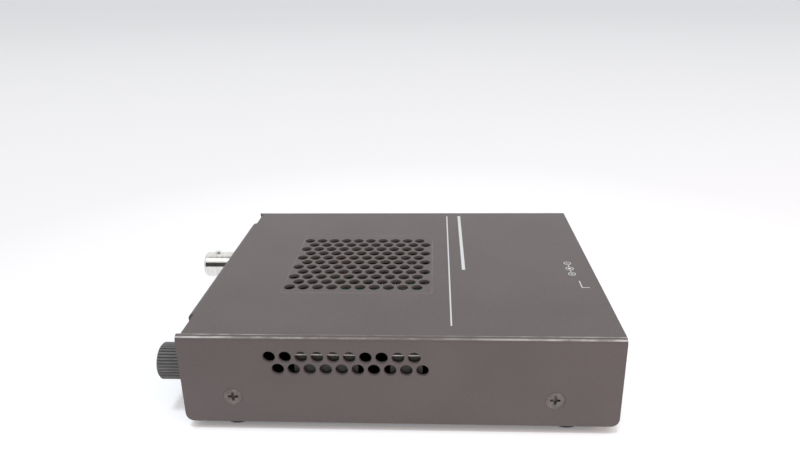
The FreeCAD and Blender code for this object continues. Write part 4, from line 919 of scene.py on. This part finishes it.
for row_shift, rows in ((0, 6), (1, 5)):
    start = (row_step * (row_shift - 5), first_hole + row_shift * pitch / 2, cover_high.z)
    cutter = rod_piece("punch", hole, 4 * sheet, start, sides=28)
    repeated(cutter, holes_in_row, (0, pitch, 0))
    repeated(cutter, rows, (2 * row_step, 0, 0))
    cut_away(cover, cutter)
for row_shift in (0, 1):
    start = (0, first_hole + row_shift * pitch / 2,
             cover_high.z - side_hole_drop - row_shift * row_step)
    cutter = rod_piece("punch", hole, 3 * cover_high.x, start, "X", 28)
    repeated(cutter, holes_in_row, (0, pitch, 0))
    cut_away(cover, cutter)
for screw_y in screw_places:
    for side in (-1, 1):
        bpy.ops.object.select_all(action="DESELECT")
        bpy.ops.mesh.primitive_cone_add(
            vertices=32, radius1=sink / 2 - sheet - mm, radius2=sink / 2 + mm, depth=sheet + 2 * mm,
            location=(side * (cover_high.x - sheet / 2), screw_y, screw_height),
            rotation=(0, side * math.pi / 2, 0))
        cut_away(cover, settle(bpy.context.object))
softened(cover, 0.14 * mm)
cover.data.materials.append(powder_coat("case_paint", fold_wear_and_highlight, printed))
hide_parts("top_cover")
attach(cover, "chassis")


# ---- cover screws ----
# Flat-head cross-recess steel screws, blacked in oxide and rubbed grey by the driver. They hold the
# cover's sides to the tray's clinch nuts.
oxide = textured("black_screw", ((0.115, 0.098, 0.095), (0.215, 0.190, 0.184)), 1.6 * mm, 0.15 * mm,
                 (0.30, 0.48), 0.008 * mm, metallic=0.35)
eased("cover_screws", 0.08 * mm, oxide, "chassis")


# ---- floor, light and camera ----
# A plain white table under a soft even sky, with a small high lamp for the case's shadow and a long
# softbox on the near side. A dark card, seen only in reflections, gives bright metal its contrast.
# The table glows to white all round the case. Under the case the glow is halved, rising to full
# just beyond its sides, which paints a darker shadow along its foot.
painted_shadow_half = (cad_high.x, 60 * mm)
glow_rings = ((0.32, 0.02, 0.07, 0.35), (0.14, 0.05, 0.2, 1.6), (0.0, 0.34, 3, 9))
sky_light, ceiling_light, seam = 0.39, 0.62, 0.952


def looked_at(made, links, *kinds):
    """1 for a ray of one of these kinds, and 0 for any other."""
    rays = made.new("ShaderNodeLightPath")
    return extreme(made, links, "MAXIMUM", [rays.outputs[f"Is {kind} Ray"] for kind in kinds])


bpy.ops.object.select_all(action="DESELECT")
bpy.ops.mesh.primitive_plane_add(size=40)
floor = settle(bpy.context.object)
floor.name = "floor"
floor_material, made, links = new_material("floor_white")
shader = made["Principled BSDF"]
shader.inputs["Base Color"].default_value = (0.93, 0.885, 0.865, 1)
shader.inputs["Roughness"].default_value = 0.9
shader.inputs["Specular IOR Level"].default_value = 0.0
place = own_place(made)
length = made.new("ShaderNodeVectorMath")
length.operation = "LENGTH"
links.new(place, length.inputs[0])
split = made.new("ShaderNodeSeparateXYZ")
links.new(place, split.inputs["Vector"])
# Painted shadow: the glow is halved under the case and rises to full 1.5 mm beyond its sides.
clear = crosswise(made, links, split.outputs["X"], split.outputs["Y"], (0, 0), painted_shadow_half)
clear = between(made, links, clear, 0.5, 1, -1.0 * mm, 1.5 * mm)
glow = extreme(made, links, "MAXIMUM",
                [between(made, links, length.outputs["Value"], *ring) for ring in glow_rings])
seen = looked_at(made, links, "Camera", "Glossy")
links.new(product(made, links, glow, clear, seen), shader.inputs["Emission Strength"])
shader.inputs["Emission Color"].default_value = (0.94, 1, 1.05, 1)
floor.data.materials.append(floor_material)
floor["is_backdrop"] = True

world = bpy.context.scene.world or bpy.data.worlds.new("studio")
bpy.context.scene.world = world
world.use_nodes = True
made, links = world.node_tree.nodes, world.node_tree.links
made["Background"].inputs["Color"].default_value = (1, 1, 1, 1)
split = made.new("ShaderNodeSeparateXYZ")
links.new(made.new("ShaderNodeTexCoord").outputs["Generated"], split.inputs["Vector"])
ceiling = between(made, links, split.outputs["Z"], 1.0, ceiling_light, 0.94, 0.96)
gap = between(made, links, distance(made, links, split.outputs["Z"], seam), 0.25, 1, 0.003, 0.009)
ceiling = product(made, links, ceiling, gap)
seen = looked_at(made, links, "Camera", "Glossy", "Transmission")
extra = product(made, links, seen, calculated(made, links, "SUBTRACT", ceiling, sky_light))
links.new(calculated(made, links, "ADD", extra, sky_light), made["Background"].inputs["Strength"])


def lamp(kind, place, towards, energy, colour=(1, 1, 1), size=None):
    """A lamp that shines from the direction given. One with a size isn't seen itself."""
    bpy.ops.object.select_all(action="DESELECT")
    bpy.ops.object.light_add(type=kind, location=place)
    light = bpy.context.object
    light.rotation_euler = Vector(towards).to_track_quat("Z", "Y").to_euler()
    light.data.energy = energy
    light.data.color = colour
    if size:
        light.data.shape = "RECTANGLE"
        light.data.size, light.data.size_y = size
        light.visible_camera = False
    return light


softbox_place = (1.30, -0.40, 2.40)
lamp("AREA", softbox_place, softbox_place, 15, size=(3.2, 0.9))
sun = lamp("SUN", (0, 0, 2), (0.28, -0.05, 1), 1.06, (0.89, 1.01, 1.13))
sun.data.angle = math.radians(10)
sun.visible_glossy = False
fill_place = (0.33, 0.45, 0.26)
fill = lamp("AREA", fill_place, fill_place, 1.0, (1.0, 0.78, 0.72), size=(0.35, 0.15))
fill.visible_glossy = False

bpy.ops.object.select_all(action="DESELECT")
bpy.ops.mesh.primitive_plane_add(size=1, location=(1.2, 0, 0.5), rotation=(0, math.pi / 2, 0))
card = bpy.context.object
card.name = "dark_card"
card.scale = (1.0, 4.0, 1)
settle(card)
card_material, made, links = new_material("dark_card")
made["Principled BSDF"].inputs["Base Color"].default_value = (0.05, 0.05, 0.05, 1)
card.data.materials.append(card_material)
card.visible_camera = False
card.visible_diffuse = False
card.visible_shadow = False
card.visible_transmission = False
card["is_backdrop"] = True

bpy.ops.object.select_all(action="DESELECT")
camera_turn = [math.radians(turn) for turn in (69.334, 1.076, 92.825)]
bpy.ops.object.camera_add(location=(0.21429, 0.01055, 0.12533), rotation=camera_turn)
camera = bpy.context.object
camera.data.sensor_width = 36
camera.data.lens = 30.865
camera.data.clip_start = 0.01
bpy.context.scene.camera = camera
bpy.context.scene.view_settings.view_transform = "Standard"

low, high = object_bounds()
